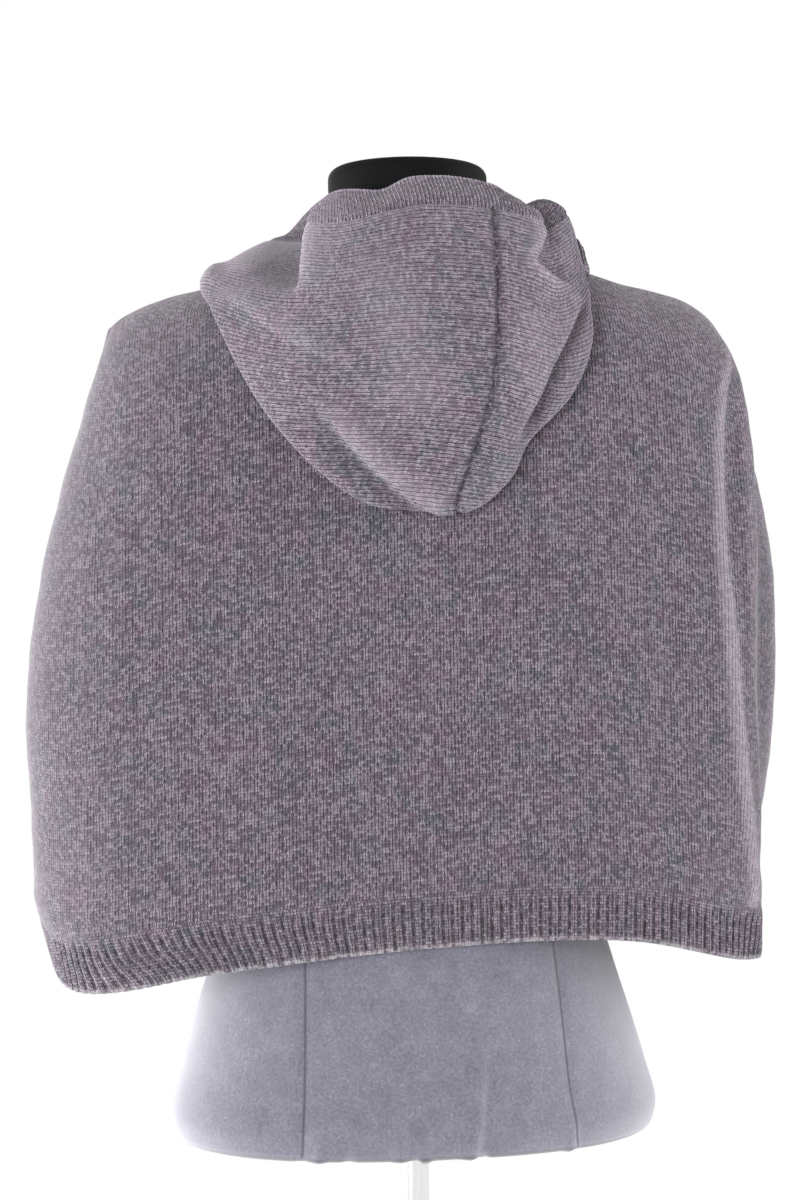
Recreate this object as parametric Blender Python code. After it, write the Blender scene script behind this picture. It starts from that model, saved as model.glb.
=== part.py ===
"""Hooded knit poncho on a limbless dress form with a round stand.

Metres, +Z up. The origin is the centre of the base's underside, on the pole's axis.
The garment's front faces -Y, its back faces +Y and the wearer's left is +X.
Every cloth piece is a closed wall: its right side follows the tables below, and its
wrong side lies one wall thickness further in.
"""
import math

import bmesh
import bpy
import numpy as np
from mathutils import Vector
from mathutils.bvhtree import BVHTree

PART_NAME = "hooded_poncho_on_dress_form"

# Cloth
KNIT_WALL = 0.0030
RIB_WALL = 0.0034
SEAM_GAP = 0.0003
LAYER_GAP = 0.0034        # between the hood's under layer and the panel that it lies on
REST_GAP = 0.0010         # between the shoulders of the form and the cloth

# The body tube, outside, seen from above: half widths, depths and squareness of its ring
RING_COLUMNS = ("z", "left", "right", "back", "front", "square")
BODY_RINGS = (
    (1.430, 0.223, 0.231, 0.077, 0.072, 2.6),
    (1.370, 0.227, 0.237, 0.090, 0.090, 2.8),
    (1.320, 0.240, 0.252, 0.100, 0.112, 3.0),
    (1.250, 0.259, 0.270, 0.106, 0.132, 3.1),
    (1.180, 0.276, 0.275, 0.110, 0.138, 3.2),
    (1.100, 0.286, 0.275, 0.113, 0.140, 3.2),
    (1.020, 0.284, 0.268, 0.117, 0.142, 3.2),
    (0.950, 0.281, 0.256, 0.120, 0.145, 3.2),
    (0.880, 0.264, 0.250, 0.119, 0.145, 3.2),
)
RING_STEPS = 240          # samples that turn a ring's length into shares of it
REFERENCE_HEIGHT = 1.10

# Shoulder seam: height over distance from the middle, before the lean of the shoulders
SHOULDER_X = (0.080, 0.115, 0.150, 0.190, 0.215, 0.240)
SHOULDER_Z = (1.425, 1.4125, 1.4005, 1.3895, 1.3795, 1.3620)
SHOULDER_TIP_LEFT = 0.224
SHOULDER_TIP_RIGHT = 0.237
SHOULDER_LEAN = 0.021     # the right shoulder is the higher one, metres per metre
LEAN_RISE = (1.25, 1.36)
LEAN_END = (1.425, 1.440)

# Neckline, as an oval around the neck that dips at the back and more at the front
NECK_SHARE = 0.40         # share of a panel's half width that the neckline takes
NECK_HALF_WIDTH = 0.084
NECK_COLUMNS = ("depth", "dip", "dip_power")
NECK_BACK = (0.062, 0.017, 1.5)
NECK_FRONT = (0.086, 0.080, 1.8)

# How far the cloth falls while it turns over from the shoulder line to the ring
CAP_SHARE = (0.0, 0.4, 0.8, 1.0)
CAP_DROP = (0.075, 0.085, 0.070, 0.030)

# Lower edge of the ribbed hem, from the right side seam (-1) to the left one (+1)
HEM_SHARE = (-1.0, -0.85, -0.45, 0.0, 0.45, 0.85, 1.0)
HEM_BACK = (0.897, 0.897, 0.922, 0.922, 0.908, 0.888, 0.895)
HEM_FRONT = (0.897, 0.900, 0.902, 0.900, 0.900, 0.901, 0.895)
RIB_HEIGHT = 0.0370

# Vertical folds of the body. Places are shares from the centre (0) to a side seam (+-1)
DRAPE_COLUMNS = ("side", "top_z", "low_z", "top", "middle", "low", "width", "depth")
BODY_DRAPES = (
    ("back", 1.365, 0.900, -0.90, -0.690, -0.87, 0.050, 0.0060),   # right back ridge
    ("back", 1.350, 0.905, -1.00, -0.825, -1.00, 0.075, -0.0210),  # valley outside it
    ("back", 1.330, 0.930, 0.86, 0.78, 0.84, 0.110, -0.0030),      # soft left back
    ("front", 1.200, 0.885, 0.34, 0.42, 0.50, 0.100, 0.0090),      # falls from the bust
    ("front", 1.180, 0.885, -0.30, -0.40, -0.46, 0.110, 0.0100),
    ("front", 1.150, 0.885, 0.02, 0.04, 0.06, 0.130, -0.0070),
    ("front", 1.300, 0.900, 0.90, 0.76, 0.80, 0.080, -0.0110),
    ("front", 1.280, 0.900, -0.92, -0.78, -0.84, 0.080, -0.0100),
)
DRAPE_FADE = 0.07         # height over which a fold runs out at its ends

# The folded hood, a section for each station around the neck from the right front over
# the back seam to the left front. "neck" is the place on the neckline, 0 at the nape
# and +-1 at the centre front. "fold" is the outer fold and "bend" its radius, "swell" and
# "crest" lie on the upper layer and "edge" is the face edge.
HOOD_COLUMNS = ("neck", "bend", "fold", "swell", "crest", "edge")
HOOD_STATIONS = (
    (-1.00, 0.005, (0.000, -0.118, 1.350), (0.000, -0.125, 1.366),
     (0.000, -0.121, 1.383), (0.000, -0.109, 1.397)),
    (-0.80, 0.006, (-0.096, -0.085, 1.362), (-0.092, -0.087, 1.390),
     (-0.077, -0.077, 1.414), (-0.062, -0.063, 1.426)),
    (-0.56, 0.008, (-0.121, 0.000, 1.404), (-0.115, 0.000, 1.433),
     (-0.097, 0.000, 1.461), (-0.077, -0.005, 1.455)),
    (-0.45, 0.009, (-0.118, 0.072, 1.376), (-0.115, 0.078, 1.406),
     (-0.098, 0.056, 1.446), (-0.077, 0.040, 1.454)),
    (-0.32, 0.009, (-0.090, 0.118, 1.312), (-0.091, 0.129, 1.350),
     (-0.085, 0.106, 1.424), (-0.073, 0.078, 1.453)),
    (-0.16, 0.009, (-0.055, 0.125, 1.252), (-0.063, 0.147, 1.322),
     (-0.068, 0.126, 1.426), (-0.060, 0.092, 1.456)),
    (0.00, 0.009, (-0.015, 0.125, 1.224), (-0.040, 0.151, 1.320),
     (-0.044, 0.131, 1.428), (-0.043, 0.096, 1.462)),
    (0.18, 0.009, (0.054, 0.125, 1.234), (0.022, 0.153, 1.322),
     (0.008, 0.131, 1.430), (0.004, 0.097, 1.469)),
    (0.32, 0.009, (0.117, 0.118, 1.296), (0.085, 0.139, 1.355),
     (0.057, 0.117, 1.424), (0.046, 0.087, 1.458)),
    (0.45, 0.007, (0.145, 0.060, 1.378), (0.124, 0.072, 1.405),
     (0.092, 0.058, 1.432), (0.069, 0.048, 1.453)),
    (0.56, 0.006, (0.145, -0.010, 1.398), (0.128, -0.010, 1.423),
     (0.100, -0.010, 1.439), (0.074, -0.010, 1.450)),
    (0.80, 0.006, (0.098, -0.085, 1.362), (0.092, -0.086, 1.388),
     (0.075, -0.076, 1.411), (0.060, -0.062, 1.424)),
    (1.00, 0.005, (0.000, -0.118, 1.350), (0.000, -0.125, 1.366),
     (0.000, -0.121, 1.383), (0.000, -0.109, 1.397)),
)
SEAM_STATION = 6
BAND_HEIGHT = 0.027
NECK_STAND = 0.010        # the hood stands up this far at most before it rolls over
STAND_SHARE = 0.35        # of the height from the neckline to the crest
ROLL_OUT = 0.022          # where the rolled cloth comes down on the panel
ROLL_SHARE = 0.35         # of the way from the neckline to the fold, at most
FOLD_BACK = 0.020         # length of cloth on each side that turns round in the outer fold
FOLD_SHARE = 0.30         # of the way from the neckline to the fold, at most
FOLD_OVER = 0.6           # of the turned length, where the cloth has come right round
FOLD_OPENING = 2.1        # bends between the two layers there

# Cells of the cloth pieces: a panel has its close columns near the side seams
CLOSE_FROM = 0.6
CLOSE_COLUMNS = 9
WIDE_COLUMNS = 12
PANEL_CAP_ROWS = 5
PANEL_ROWS = 12
RIB_ROWS = 2
HOOD_COLUMNS_PER_HALF = 18
HOOD_KNOTS = (0.0, 0.7, 1.4, 2.2, 3.0, 3.3, 3.6, 4.0, 4.5, 5.0, 5.5, 6.0, 6.5, 7.0,
              7.35, 7.7, 8.0, 8.35, 8.7, 9.0)
UNDER_KNOTS = (1.4, 6.5)  # the stretch that lies on the panels
BAND_ROWS = 2

# Dress form: half width, back, front and squareness of its rings. Rings without a
# height follow the shoulder seam, just under the cloth.
TORSO_COLUMNS = ("z", "half_width", "back", "front", "square")
TORSO_RINGS = (
    (0.7680, 0.161, 0.099, 0.087, 2.3),
    (0.7700, 0.169, 0.106, 0.094, 2.3),
    (0.7770, 0.176, 0.112, 0.100, 2.3),
    (0.7930, 0.179, 0.115, 0.103, 2.3),
    (0.8250, 0.174, 0.115, 0.103, 2.3),
    (0.8650, 0.161, 0.116, 0.102, 2.3),
    (0.9050, 0.148, 0.1145, 0.099, 2.3),
    (0.9500, 0.136, 0.107, 0.093, 2.2),
    (1.0000, 0.124, 0.083, 0.087, 2.2),
    (1.0500, 0.117, 0.066, 0.084, 2.2),
    (1.1000, 0.120, 0.064, 0.092, 2.2),
    (1.1500, 0.129, 0.070, 0.110, 2.2),
    (1.2000, 0.138, 0.078, 0.125, 2.3),
    (1.2500, 0.148, 0.086, 0.118, 2.3),
    (1.3000, 0.168, 0.088, 0.098, 2.3),
    (1.3300, 0.190, 0.082, 0.080, 2.1),
    (1.3550, 0.205, 0.074, 0.070, 1.9),
    (None, 0.205, 0.066, 0.060, 1.7),
    (None, 0.190, 0.062, 0.056, 1.6),
    (None, 0.165, 0.058, 0.054, 1.5),
    (None, 0.135, 0.056, 0.053, 1.4),
    (None, 0.105, 0.052, 0.050, 1.25),
    (1.4160, 0.072, 0.053, 0.052, 1.6),
    (1.4260, 0.063, 0.055, 0.055, 1.9),
    (1.4400, 0.0590, 0.0560, 0.0570, 2.0),
)
TORSO_SIDES = 44
TORSO_SHIFT = 0.0035      # the hips of the form lie this far to the left of the pole's axis
TORSO_SHIFT_END = (1.02, 1.25)
NECK_CAP_RADIUS = 0.0600
NECK_CAP_HEIGHT = 0.0480
NECK_CAP_ROUNDING = 0.0090
NECK_CAP_SIDES = 40

# Stand
POLE_RADIUS = 0.0080
POLE_SIDES = 32
BASE_RADIUS = 0.1650
BASE_THICKNESS = 0.0080
BASE_EDGE = 0.0025
BASE_SIDES = 64

# Colour, roughness and metallic value of each finish
FINISHES = {
    "melange_knit": ((0.178, 0.150, 0.186), 0.95, 0.0),
    "melange_rib": ((0.155, 0.132, 0.163), 0.95, 0.0),
    "heather_jersey": ((0.262, 0.254, 0.312), 0.90, 0.0),
    "black_cap": ((0.012, 0.012, 0.013), 0.45, 0.0),
    "bright_chrome": ((0.800, 0.800, 0.820), 0.12, 1.0),
    "satin_steel": ((0.560, 0.560, 0.580), 0.30, 1.0),
}


def smooth_read(place, places, values):
    """Read a table along a smooth curve through its rows."""
    places = np.asarray(places, float)
    values = np.asarray(values, float)
    if places[0] > places[-1]:
        places = places[::-1]
        values = values[::-1]
    slopes = np.gradient(values, places)
    place = np.clip(place, places[0], places[-1])
    row = np.clip(np.searchsorted(places, place) - 1, 0, len(places) - 2)
    span = places[row + 1] - places[row]
    t = (place - places[row]) / span
    start = (1 + 2 * t) * (1 - t) ** 2 * values[row] + t * (1 - t) ** 2 * span * slopes[row]
    end = t * t * (3 - 2 * t) * values[row + 1] + t * t * (t - 1) * span * slopes[row + 1]
    return start + end


def ease(value, low, high):
    """Go smoothly from 0 at low to 1 at high."""
    t = np.clip((value - low) / (high - low), 0.0, 1.0)
    return t * t * (3 - 2 * t)


def lean_of(x, z):
    return -SHOULDER_LEAN * x * ease(z, *LEAN_RISE) * (1.0 - ease(z, *LEAN_END))


def ring_column(z, name):
    column = RING_COLUMNS.index(name)
    return smooth_read(z, [row[0] for row in BODY_RINGS], [row[column] for row in BODY_RINGS])


def superellipse(turn, half_width, depth, square):
    """A point at an angle in radians, 0 at the side and pi/2 at the middle of the back."""
    power = 2.0 / square
    x = half_width * np.sign(np.cos(turn)) * np.abs(np.cos(turn)) ** power
    y = depth * np.abs(np.sin(turn)) ** power
    return x, y


def turn_of_share(share):
    """The angle at an equal share of the ring's length, +1 at the left side, -1 at the right."""
    turns = np.linspace(0.0, math.pi, RING_STEPS)
    half_width = ring_column(REFERENCE_HEIGHT, "left")
    depth = ring_column(REFERENCE_HEIGHT, "back")
    x, y = superellipse(turns, half_width, depth, ring_column(REFERENCE_HEIGHT, "square"))
    length = np.concatenate(([0.0], np.cumsum(np.hypot(np.diff(x), np.diff(y)))))
    return np.interp((1.0 - share) / 2.0, length / length[-1], turns)


def drape_offset(side, share, z):
    """How far the folds move the cloth outwards."""
    offset = np.zeros(np.broadcast(share, z).shape)
    for row in BODY_DRAPES:
        fold = dict(zip(DRAPE_COLUMNS, row))
        if fold["side"] != side:
            continue
        t = np.clip((fold["top_z"] - z) / (fold["top_z"] - fold["low_z"]), 0.0, 1.0)
        line = (1 - t) * (1 - 2 * t) * fold["top"] + 4 * t * (1 - t) * fold["middle"]
        line = line + t * (2 * t - 1) * fold["low"]
        run = 1.0 - ease(z, fold["top_z"] - DRAPE_FADE, fold["top_z"])
        run = run * ease(z, fold["low_z"] - DRAPE_FADE, fold["low_z"])
        offset = offset + fold["depth"] * run * np.exp(-((share - line) / fold["width"]) ** 2)
    return offset * (1.0 - ease(np.abs(share), 0.93, 1.0))


def ring_point(side, share, z):
    """A point of the body tube, on its right side."""
    turn = turn_of_share(share)
    half_width = np.where(share > 0, ring_column(z, "left"), ring_column(z, "right"))
    x, y = superellipse(turn, half_width, ring_column(z, side), ring_column(z, "square"))
    out_x = np.cos(turn) * np.abs(np.cos(turn)) ** 0.5
    out_y = np.sin(turn)
    length = np.hypot(out_x, out_y)
    offset = drape_offset(side, share, z)
    return x + offset * out_x / length, y + offset * out_y / length


def shoulder_height(x):
    return smooth_read(np.abs(x), SHOULDER_X, SHOULDER_Z)


def top_edge(side, share):
    """Neckline and shoulder seam, as x, distance from the seam plane, and z."""
    neck = dict(zip(NECK_COLUMNS, NECK_BACK if side == "back" else NECK_FRONT))
    quarter = np.clip(share / NECK_SHARE, -1.0, 1.0) * math.pi / 2
    tip = np.where(share > 0, SHOULDER_TIP_LEFT, SHOULDER_TIP_RIGHT)
    beyond = np.clip((np.abs(share) - NECK_SHARE) / (1.0 - NECK_SHARE), 0.0, 1.0)
    x = NECK_HALF_WIDTH * np.sin(quarter) + np.sign(share) * (tip - NECK_HALF_WIDTH) * beyond
    around = np.maximum(np.cos(quarter), 0.0)
    z = shoulder_height(x) - neck["dip"] * around ** neck["dip_power"]
    return x, neck["depth"] * np.where(np.abs(share) < NECK_SHARE, around, 0.0), z


def hem_height(side, share):
    return smooth_read(share, HEM_SHARE, HEM_BACK if side == "back" else HEM_FRONT)


def panel_point(side, share, fall):
    """Body cloth: fall is 0 at the top edge, 1 where the cap ends and 2 at the rib's seam."""
    top_x, top_y, top_z = top_edge(side, share)
    drop = smooth_read(np.abs(share), CAP_SHARE, CAP_DROP)
    turn = np.clip(fall, 0.0, 1.0) * math.pi / 2
    cap_z = top_z - drop * (1.0 - np.cos(turn))
    rib_z = hem_height(side, share) + RIB_HEIGHT
    z = np.where(fall < 1.0, cap_z, cap_z + (rib_z - cap_z) * (fall - 1.0))
    x, y = ring_point(side, share, z)
    x = top_x + (x - top_x) * np.sin(turn)
    y = top_y + (y - top_y) * np.sin(turn) + SEAM_GAP / 2
    facing = 1.0 if side == "back" else -1.0
    return np.stack([x, facing * y, z + lean_of(x, z)], axis=-1)


def rib_point(side, share, fall):
    """Hem rib: fall is 0 at its seam and 1 at the lower edge."""
    low = hem_height(side, share)
    z = low + (RIB_HEIGHT - SEAM_GAP) * (1.0 - fall)
    x, y = ring_point(side, share, z)
    facing = 1.0 if side == "back" else -1.0
    return np.stack([x, facing * (y + SEAM_GAP / 2), z], axis=-1)


def unit(vectors):
    return vectors / np.maximum(np.linalg.norm(vectors, axis=-1, keepdims=True), 1e-9)


def grid_normals(points):
    """Unit normals of a grid of points, rows down and columns across."""
    across = np.gradient(points, axis=1)
    down = np.gradient(points, axis=0)
    return unit(np.cross(across, down))


def shell_mesh(name, outer, inner):
    """A closed wall between two grids of points."""
    rows, columns = outer.shape[:2]
    mesh = bmesh.new()
    right = [[mesh.verts.new(Vector(point)) for point in row] for row in outer]
    wrong = [[mesh.verts.new(Vector(point)) for point in row] for row in inner]
    for i in range(rows - 1):
        for j in range(columns - 1):
            mesh.faces.new((right[i][j], right[i][j + 1], right[i + 1][j + 1], right[i + 1][j]))
            mesh.faces.new((wrong[i][j], wrong[i + 1][j], wrong[i + 1][j + 1], wrong[i][j + 1]))
    for i in range(rows - 1):
        for j in (0, columns - 1):
            mesh.faces.new((right[i][j], right[i + 1][j], wrong[i + 1][j], wrong[i][j]))
    for j in range(columns - 1):
        for i in (0, rows - 1):
            mesh.faces.new((right[i][j], right[i][j + 1], wrong[i][j + 1], wrong[i][j]))
    bmesh.ops.recalc_face_normals(mesh, faces=mesh.faces)
    data = bpy.data.meshes.new(name)
    mesh.to_mesh(data)
    mesh.free()
    return data


def add_object(name, data, finish, collection, smooth_angle=50.0):
    colour, roughness, metallic = FINISHES[finish]
    material = bpy.data.materials.new(name + "_finish")
    material.use_nodes = True
    shader = material.node_tree.nodes["Principled BSDF"]
    shader.inputs["Base Color"].default_value = (*colour, 1.0)
    shader.inputs["Roughness"].default_value = roughness
    shader.inputs["Metallic"].default_value = metallic
    data.materials.append(material)
    data.shade_smooth()
    data.set_sharp_from_angle(angle=math.radians(smooth_angle))
    thing = bpy.data.objects.new(name, data)
    collection.objects.link(thing)
    return thing


def panel_shares():
    """Places of a panel's columns, from the left side seam to the right one."""
    close = np.linspace(1.0, CLOSE_FROM, CLOSE_COLUMNS + 1)
    wide = np.linspace(CLOSE_FROM, -CLOSE_FROM, WIDE_COLUMNS + 1)
    return np.concatenate((close, wide[1:-1], -close[::-1]))


def panel_grids(side):
    """Right and wrong side of a body panel."""
    cap = np.linspace(0.0, 1.0, PANEL_CAP_ROWS + 1)
    falls = np.concatenate((cap, np.linspace(1.0, 2.0, PANEL_ROWS + 1)[1:]))
    share, fall = np.meshgrid(panel_shares(), falls)
    outer = panel_point(side, share, fall)
    seam = np.abs(share[0]) > NECK_SHARE - 1e-6
    return outer, inner_side(side, outer, KNIT_WALL, seam, -1)


def rib_grids(side):
    share, fall = np.meshgrid(panel_shares(), np.linspace(0.0, 1.0, RIB_ROWS + 1))
    outer = rib_point(side, share, fall)
    return outer, inner_side(side, outer, RIB_WALL, [], 0)


def inner_side(side, outer, wall, seam_columns, level_row):
    """The wrong side of a panel. Its edges keep to the planes of the seams that they meet."""
    normals = grid_normals(outer)
    if side == "back":
        normals = -normals
    normals[:, 0, 1] = 0.0
    normals[:, -1, 1] = 0.0
    normals[0, seam_columns, 1] = 0.0
    normals[level_row, :, 2] = 0.0
    return outer - wall * unit(normals)


def body_tree(grids):
    """Search tree over the right side of the panels."""
    points = []
    faces = []
    for grid in grids:
        rows, columns = grid.shape[:2]
        start = len(points)
        points.extend(Vector(point) for point in grid.reshape(-1, 3))
        for i in range(rows - 1):
            for j in range(columns - 1):
                corner = start + i * columns + j
                faces.append((corner, corner + 1, corner + columns + 1, corner + columns))
    return BVHTree.FromPolygons(points, faces)


def lay(tree, point, lift):
    """The point of the body cloth nearest to a place, lifted off it, and the way out there."""
    centre = Vector((0.0, 0.0, 1.25))
    near, normal, _, _ = tree.find_nearest(Vector(point))
    if normal.dot(near - centre) < 0.0:
        normal = -normal
    return np.array(near + normal * lift), np.array(normal)


def neckline_point(place):
    """Neckline: 0 at the nape, +-0.5 at the shoulder seams, +-1 at the centre front."""
    side = "back" if abs(place) <= 0.5 else "front"
    along = place if side == "back" else math.copysign(1.0, place) - place
    share = NECK_SHARE * along / 0.5
    nodes = np.array([node for node in panel_shares()[::-1] if abs(node) <= NECK_SHARE + 1e-6])
    x, y, z = top_edge(side, nodes)
    facing = 1.0 if side == "back" else -1.0
    lines = (x, facing * (y + SEAM_GAP / 2), z + lean_of(x, z))
    return np.array([np.interp(share, nodes, line) for line in lines])


def hood_section(tree, row):
    """Control points of one section, from the neck seam round the fold to the face edge."""
    station = dict(zip(HOOD_COLUMNS, row))
    neck = neckline_point(station["neck"])
    outwards = unit(np.array([neck[0], neck[1], 0.0]))
    start = neck + np.array([0.0, 0.0, SEAM_GAP]) - outwards * SEAM_GAP
    fold = np.array(station["fold"])
    reach = np.linalg.norm(fold - neck)
    up = np.array([0.0, 0.0, 1.0])
    roll = min(ROLL_OUT, ROLL_SHARE * reach) / reach
    back = min(FOLD_BACK, FOLD_SHARE * reach)
    rise = min(NECK_STAND, STAND_SHARE * (station["crest"][2] - neck[2]))
    stand = start + up * rise
    top = start + outwards * roll * reach * ROLL_SHARE + up * rise * 1.5
    first, _ = lay(tree, neck + (fold - neck) * roll, LAYER_GAP)
    half_way = 0.5 * (1.0 + roll - 0.5 * FOLD_BACK / reach)
    middle, _ = lay(tree, neck + (fold - neck) * half_way, LAYER_GAP)
    under, _ = lay(tree, fold - (fold - neck) * back / reach, LAYER_GAP)
    base, normal = lay(tree, fold, 0.0)
    along = unit(base - under)
    bend = station["bend"]
    nose = base + normal * (LAYER_GAP + bend)
    over = base - along * back * FOLD_OVER + normal * (LAYER_GAP + FOLD_OPENING * bend)
    rest = [np.array(station[name]) for name in ("swell", "crest", "edge")]
    return np.array([start, stand, top, first, middle, under, nose, over] + rest)


def curve_through(controls, place):
    """Catmull-Rom curve: controls along the first axis, place in units of its rows."""
    last = len(controls) - 1
    i = min(int(place), last - 1)
    t = place - i
    before = controls[i - 1] if i > 0 else 2 * controls[0] - controls[1]
    after = controls[i + 2] if i + 2 <= last else 2 * controls[last] - controls[last - 1]
    a, b = controls[i], controls[i + 1]
    return 0.5 * (2 * a + (b - before) * t + (2 * before - 5 * a + 4 * b - after) * t * t
                  + (3 * a - before - 3 * b + after) * t ** 3)


def band_knot(section):
    """Place on a section where the face band starts, BAND_HEIGHT before the edge."""
    last = len(section) - 1
    place = float(last)
    length = 0.0
    step = 0.02
    while length < BAND_HEIGHT and place > last - 2:
        move = curve_through(section, place) - curve_through(section, place - step)
        length += np.linalg.norm(move)
        place -= step
    return place


def hood_knots(section):
    """Places of the rows: the hood up to the band's seam, then the band."""
    seam = band_knot(section)
    upper = HOOD_KNOTS.index(8.0)
    start = np.array(HOOD_KNOTS[:upper])
    crest = np.array(HOOD_KNOTS[upper:])
    crest = 8.0 + (crest - 8.0) * (seam - 8.0)
    band = np.linspace(seam, len(section) - 1.0, BAND_ROWS + 1)
    return np.concatenate((start, crest, band[1:]))


def hood_column(tree, sections, station):
    """One column of the hood, held to the neckline at its foot and clear of the panels."""
    section = curve_through(sections, station)
    places = np.array([row[0] for row in HOOD_STATIONS])
    neck = neckline_point(float(np.interp(station, np.arange(len(places)), places)))
    start = neck + np.array([0.0, 0.0, SEAM_GAP]) - unit(neck * (1, 1, 0)) * SEAM_GAP
    section[:3] += start - section[0]
    knots = hood_knots(section)
    column = [curve_through(section, knot) for knot in knots]
    for i, knot in enumerate(knots):
        if UNDER_KNOTS[0] <= knot <= UNDER_KNOTS[1]:
            near, normal = lay(tree, column[i], 0.0)
            height = float(np.dot(column[i] - near, normal))
            column[i] = column[i] + normal * max(0.0, LAYER_GAP - height)
    return column


def hood_grid(tree, sections, stations):
    """Points on the right side of the hood and its normals."""
    columns = [hood_column(tree, sections, station) for station in stations]
    grid = np.array(columns).transpose(1, 0, 2)
    normals = -grid_normals(grid)
    normals[:, 0, 0] = 0.0
    normals[:, -1, 0] = 0.0
    return grid, unit(normals)


def cut_piece(grid, normals, rows, columns, open_edges):
    """Both sides of a piece of the grid, its seam edges drawn back by half the seam gap."""
    outer = grid[rows, columns].copy()
    for edge in open_edges:
        line, beside = {
            "first_row": ((0,), (1,)),
            "last_row": ((-1,), (-2,)),
            "first_column": ((slice(None), 0), (slice(None), 1)),
            "last_column": ((slice(None), -1), (slice(None), -2)),
        }[edge]
        outer[line] += unit(outer[beside] - outer[line]) * SEAM_GAP / 2
    return outer, outer - KNIT_WALL * normals[rows, columns]


def make_body(collection):
    """Panels and hem ribs. Returns the right sides of the panels."""
    right_sides = []
    for side in ("back", "front"):
        outer, inner = panel_grids(side)
        right_sides.append(outer)
        name = side + "_panel"
        add_object(name, shell_mesh(name, outer, inner), "melange_knit", collection)
        outer, inner = rib_grids(side)
        name = "hem_rib_" + side
        add_object(name, shell_mesh(name, outer, inner), "melange_rib", collection)
    return right_sides


def make_hood(collection, right_sides):
    """Two halves that meet in the centre seam, and the band along the face edge."""
    tree = body_tree(right_sides)
    sections = np.array([hood_section(tree, row) for row in HOOD_STATIONS])
    half = HOOD_COLUMNS_PER_HALF
    right = np.linspace(0.0, SEAM_STATION, half + 1)
    left = np.linspace(SEAM_STATION, len(HOOD_STATIONS) - 1, half + 1)
    grid, normals = hood_grid(tree, sections, np.concatenate((right, left[1:])))
    hood_rows = slice(0, len(HOOD_KNOTS))
    band_rows = slice(len(HOOD_KNOTS) - 1, None)
    sides = ["first_column", "last_column"]
    pieces = (
        ("hood_right", "melange_knit", hood_rows, slice(0, half + 1), sides + ["last_row"]),
        ("hood_left", "melange_knit", hood_rows, slice(half, None), sides + ["last_row"]),
        ("hood_band", "melange_rib", band_rows, slice(None), sides + ["first_row"]),
    )
    for name, finish, rows, columns, open_edges in pieces:
        outer, inner = cut_piece(grid, normals, rows, columns, open_edges)
        add_object(name, shell_mesh(name, outer, inner), finish, collection)


def torso_ring(row):
    """Points of one ring of the dress form."""
    ring = dict(zip(TORSO_COLUMNS, row))
    z = ring["z"]
    if z is None:
        z = float(shoulder_height(ring["half_width"])) - KNIT_WALL - REST_GAP
    points = []
    for step in range(TORSO_SIDES):
        turn = 2 * math.pi * step / TORSO_SIDES
        depth = ring["back"] if math.sin(turn) > 0 else ring["front"]
        x, y = superellipse(turn, ring["half_width"], depth, ring["square"])
        shift = TORSO_SHIFT * (1.0 - ease(z, *TORSO_SHIFT_END))
        points.append(Vector((x + shift, math.copysign(y, math.sin(turn)), z + lean_of(x, z))))
    return points


def make_torso(collection):
    mesh = bmesh.new()
    rings = [[mesh.verts.new(point) for point in torso_ring(row)] for row in TORSO_RINGS]
    for lower, upper in zip(rings, rings[1:]):
        for i in range(TORSO_SIDES):
            j = (i + 1) % TORSO_SIDES
            mesh.faces.new((lower[i], lower[j], upper[j], upper[i]))
    mesh.faces.new(list(reversed(rings[0])))
    mesh.faces.new(rings[-1])
    bmesh.ops.recalc_face_normals(mesh, faces=mesh.faces)
    data = bpy.data.meshes.new("form_torso")
    mesh.to_mesh(data)
    mesh.free()
    add_object("form_torso", data, "heather_jersey", collection)


def turned_object(name, profile, sides, finish, collection):
    """A profile from the axis at the top, down its outer side, to the axis at the bottom."""
    mesh = bmesh.new()
    points = [mesh.verts.new((radius, 0.0, z)) for radius, z in profile]
    for start, end in zip(points, points[1:]):
        mesh.edges.new((start, end))
    bmesh.ops.spin(mesh, geom=list(mesh.verts) + list(mesh.edges), cent=(0, 0, 0), axis=(0, 0, 1),
                   angle=2 * math.pi, steps=sides, use_merge=True)
    bmesh.ops.remove_doubles(mesh, verts=mesh.verts, dist=0.00001)
    bmesh.ops.recalc_face_normals(mesh, faces=mesh.faces)
    data = bpy.data.meshes.new(name)
    mesh.to_mesh(data)
    mesh.free()
    return add_object(name, data, finish, collection, smooth_angle=35.0)


def quarter_round(radius, z, rounding, steps):
    """Profile points of a rounded upper edge, from the flat top to the straight side."""
    turns = [math.pi / 2 * step / steps for step in range(steps + 1)]
    return [(radius - rounding * (1 - math.sin(turn)), z - rounding * (1 - math.cos(turn)))
            for turn in turns]


def make_neck_cap(collection):
    low = TORSO_RINGS[-1][0] + SEAM_GAP
    high = low + NECK_CAP_HEIGHT
    profile = [(0.0, high)] + quarter_round(NECK_CAP_RADIUS, high, NECK_CAP_ROUNDING, 5)
    profile += [(NECK_CAP_RADIUS - 0.001, low), (0.0, low)]
    turned_object("form_neck_cap", profile, NECK_CAP_SIDES, "black_cap", collection)


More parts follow.
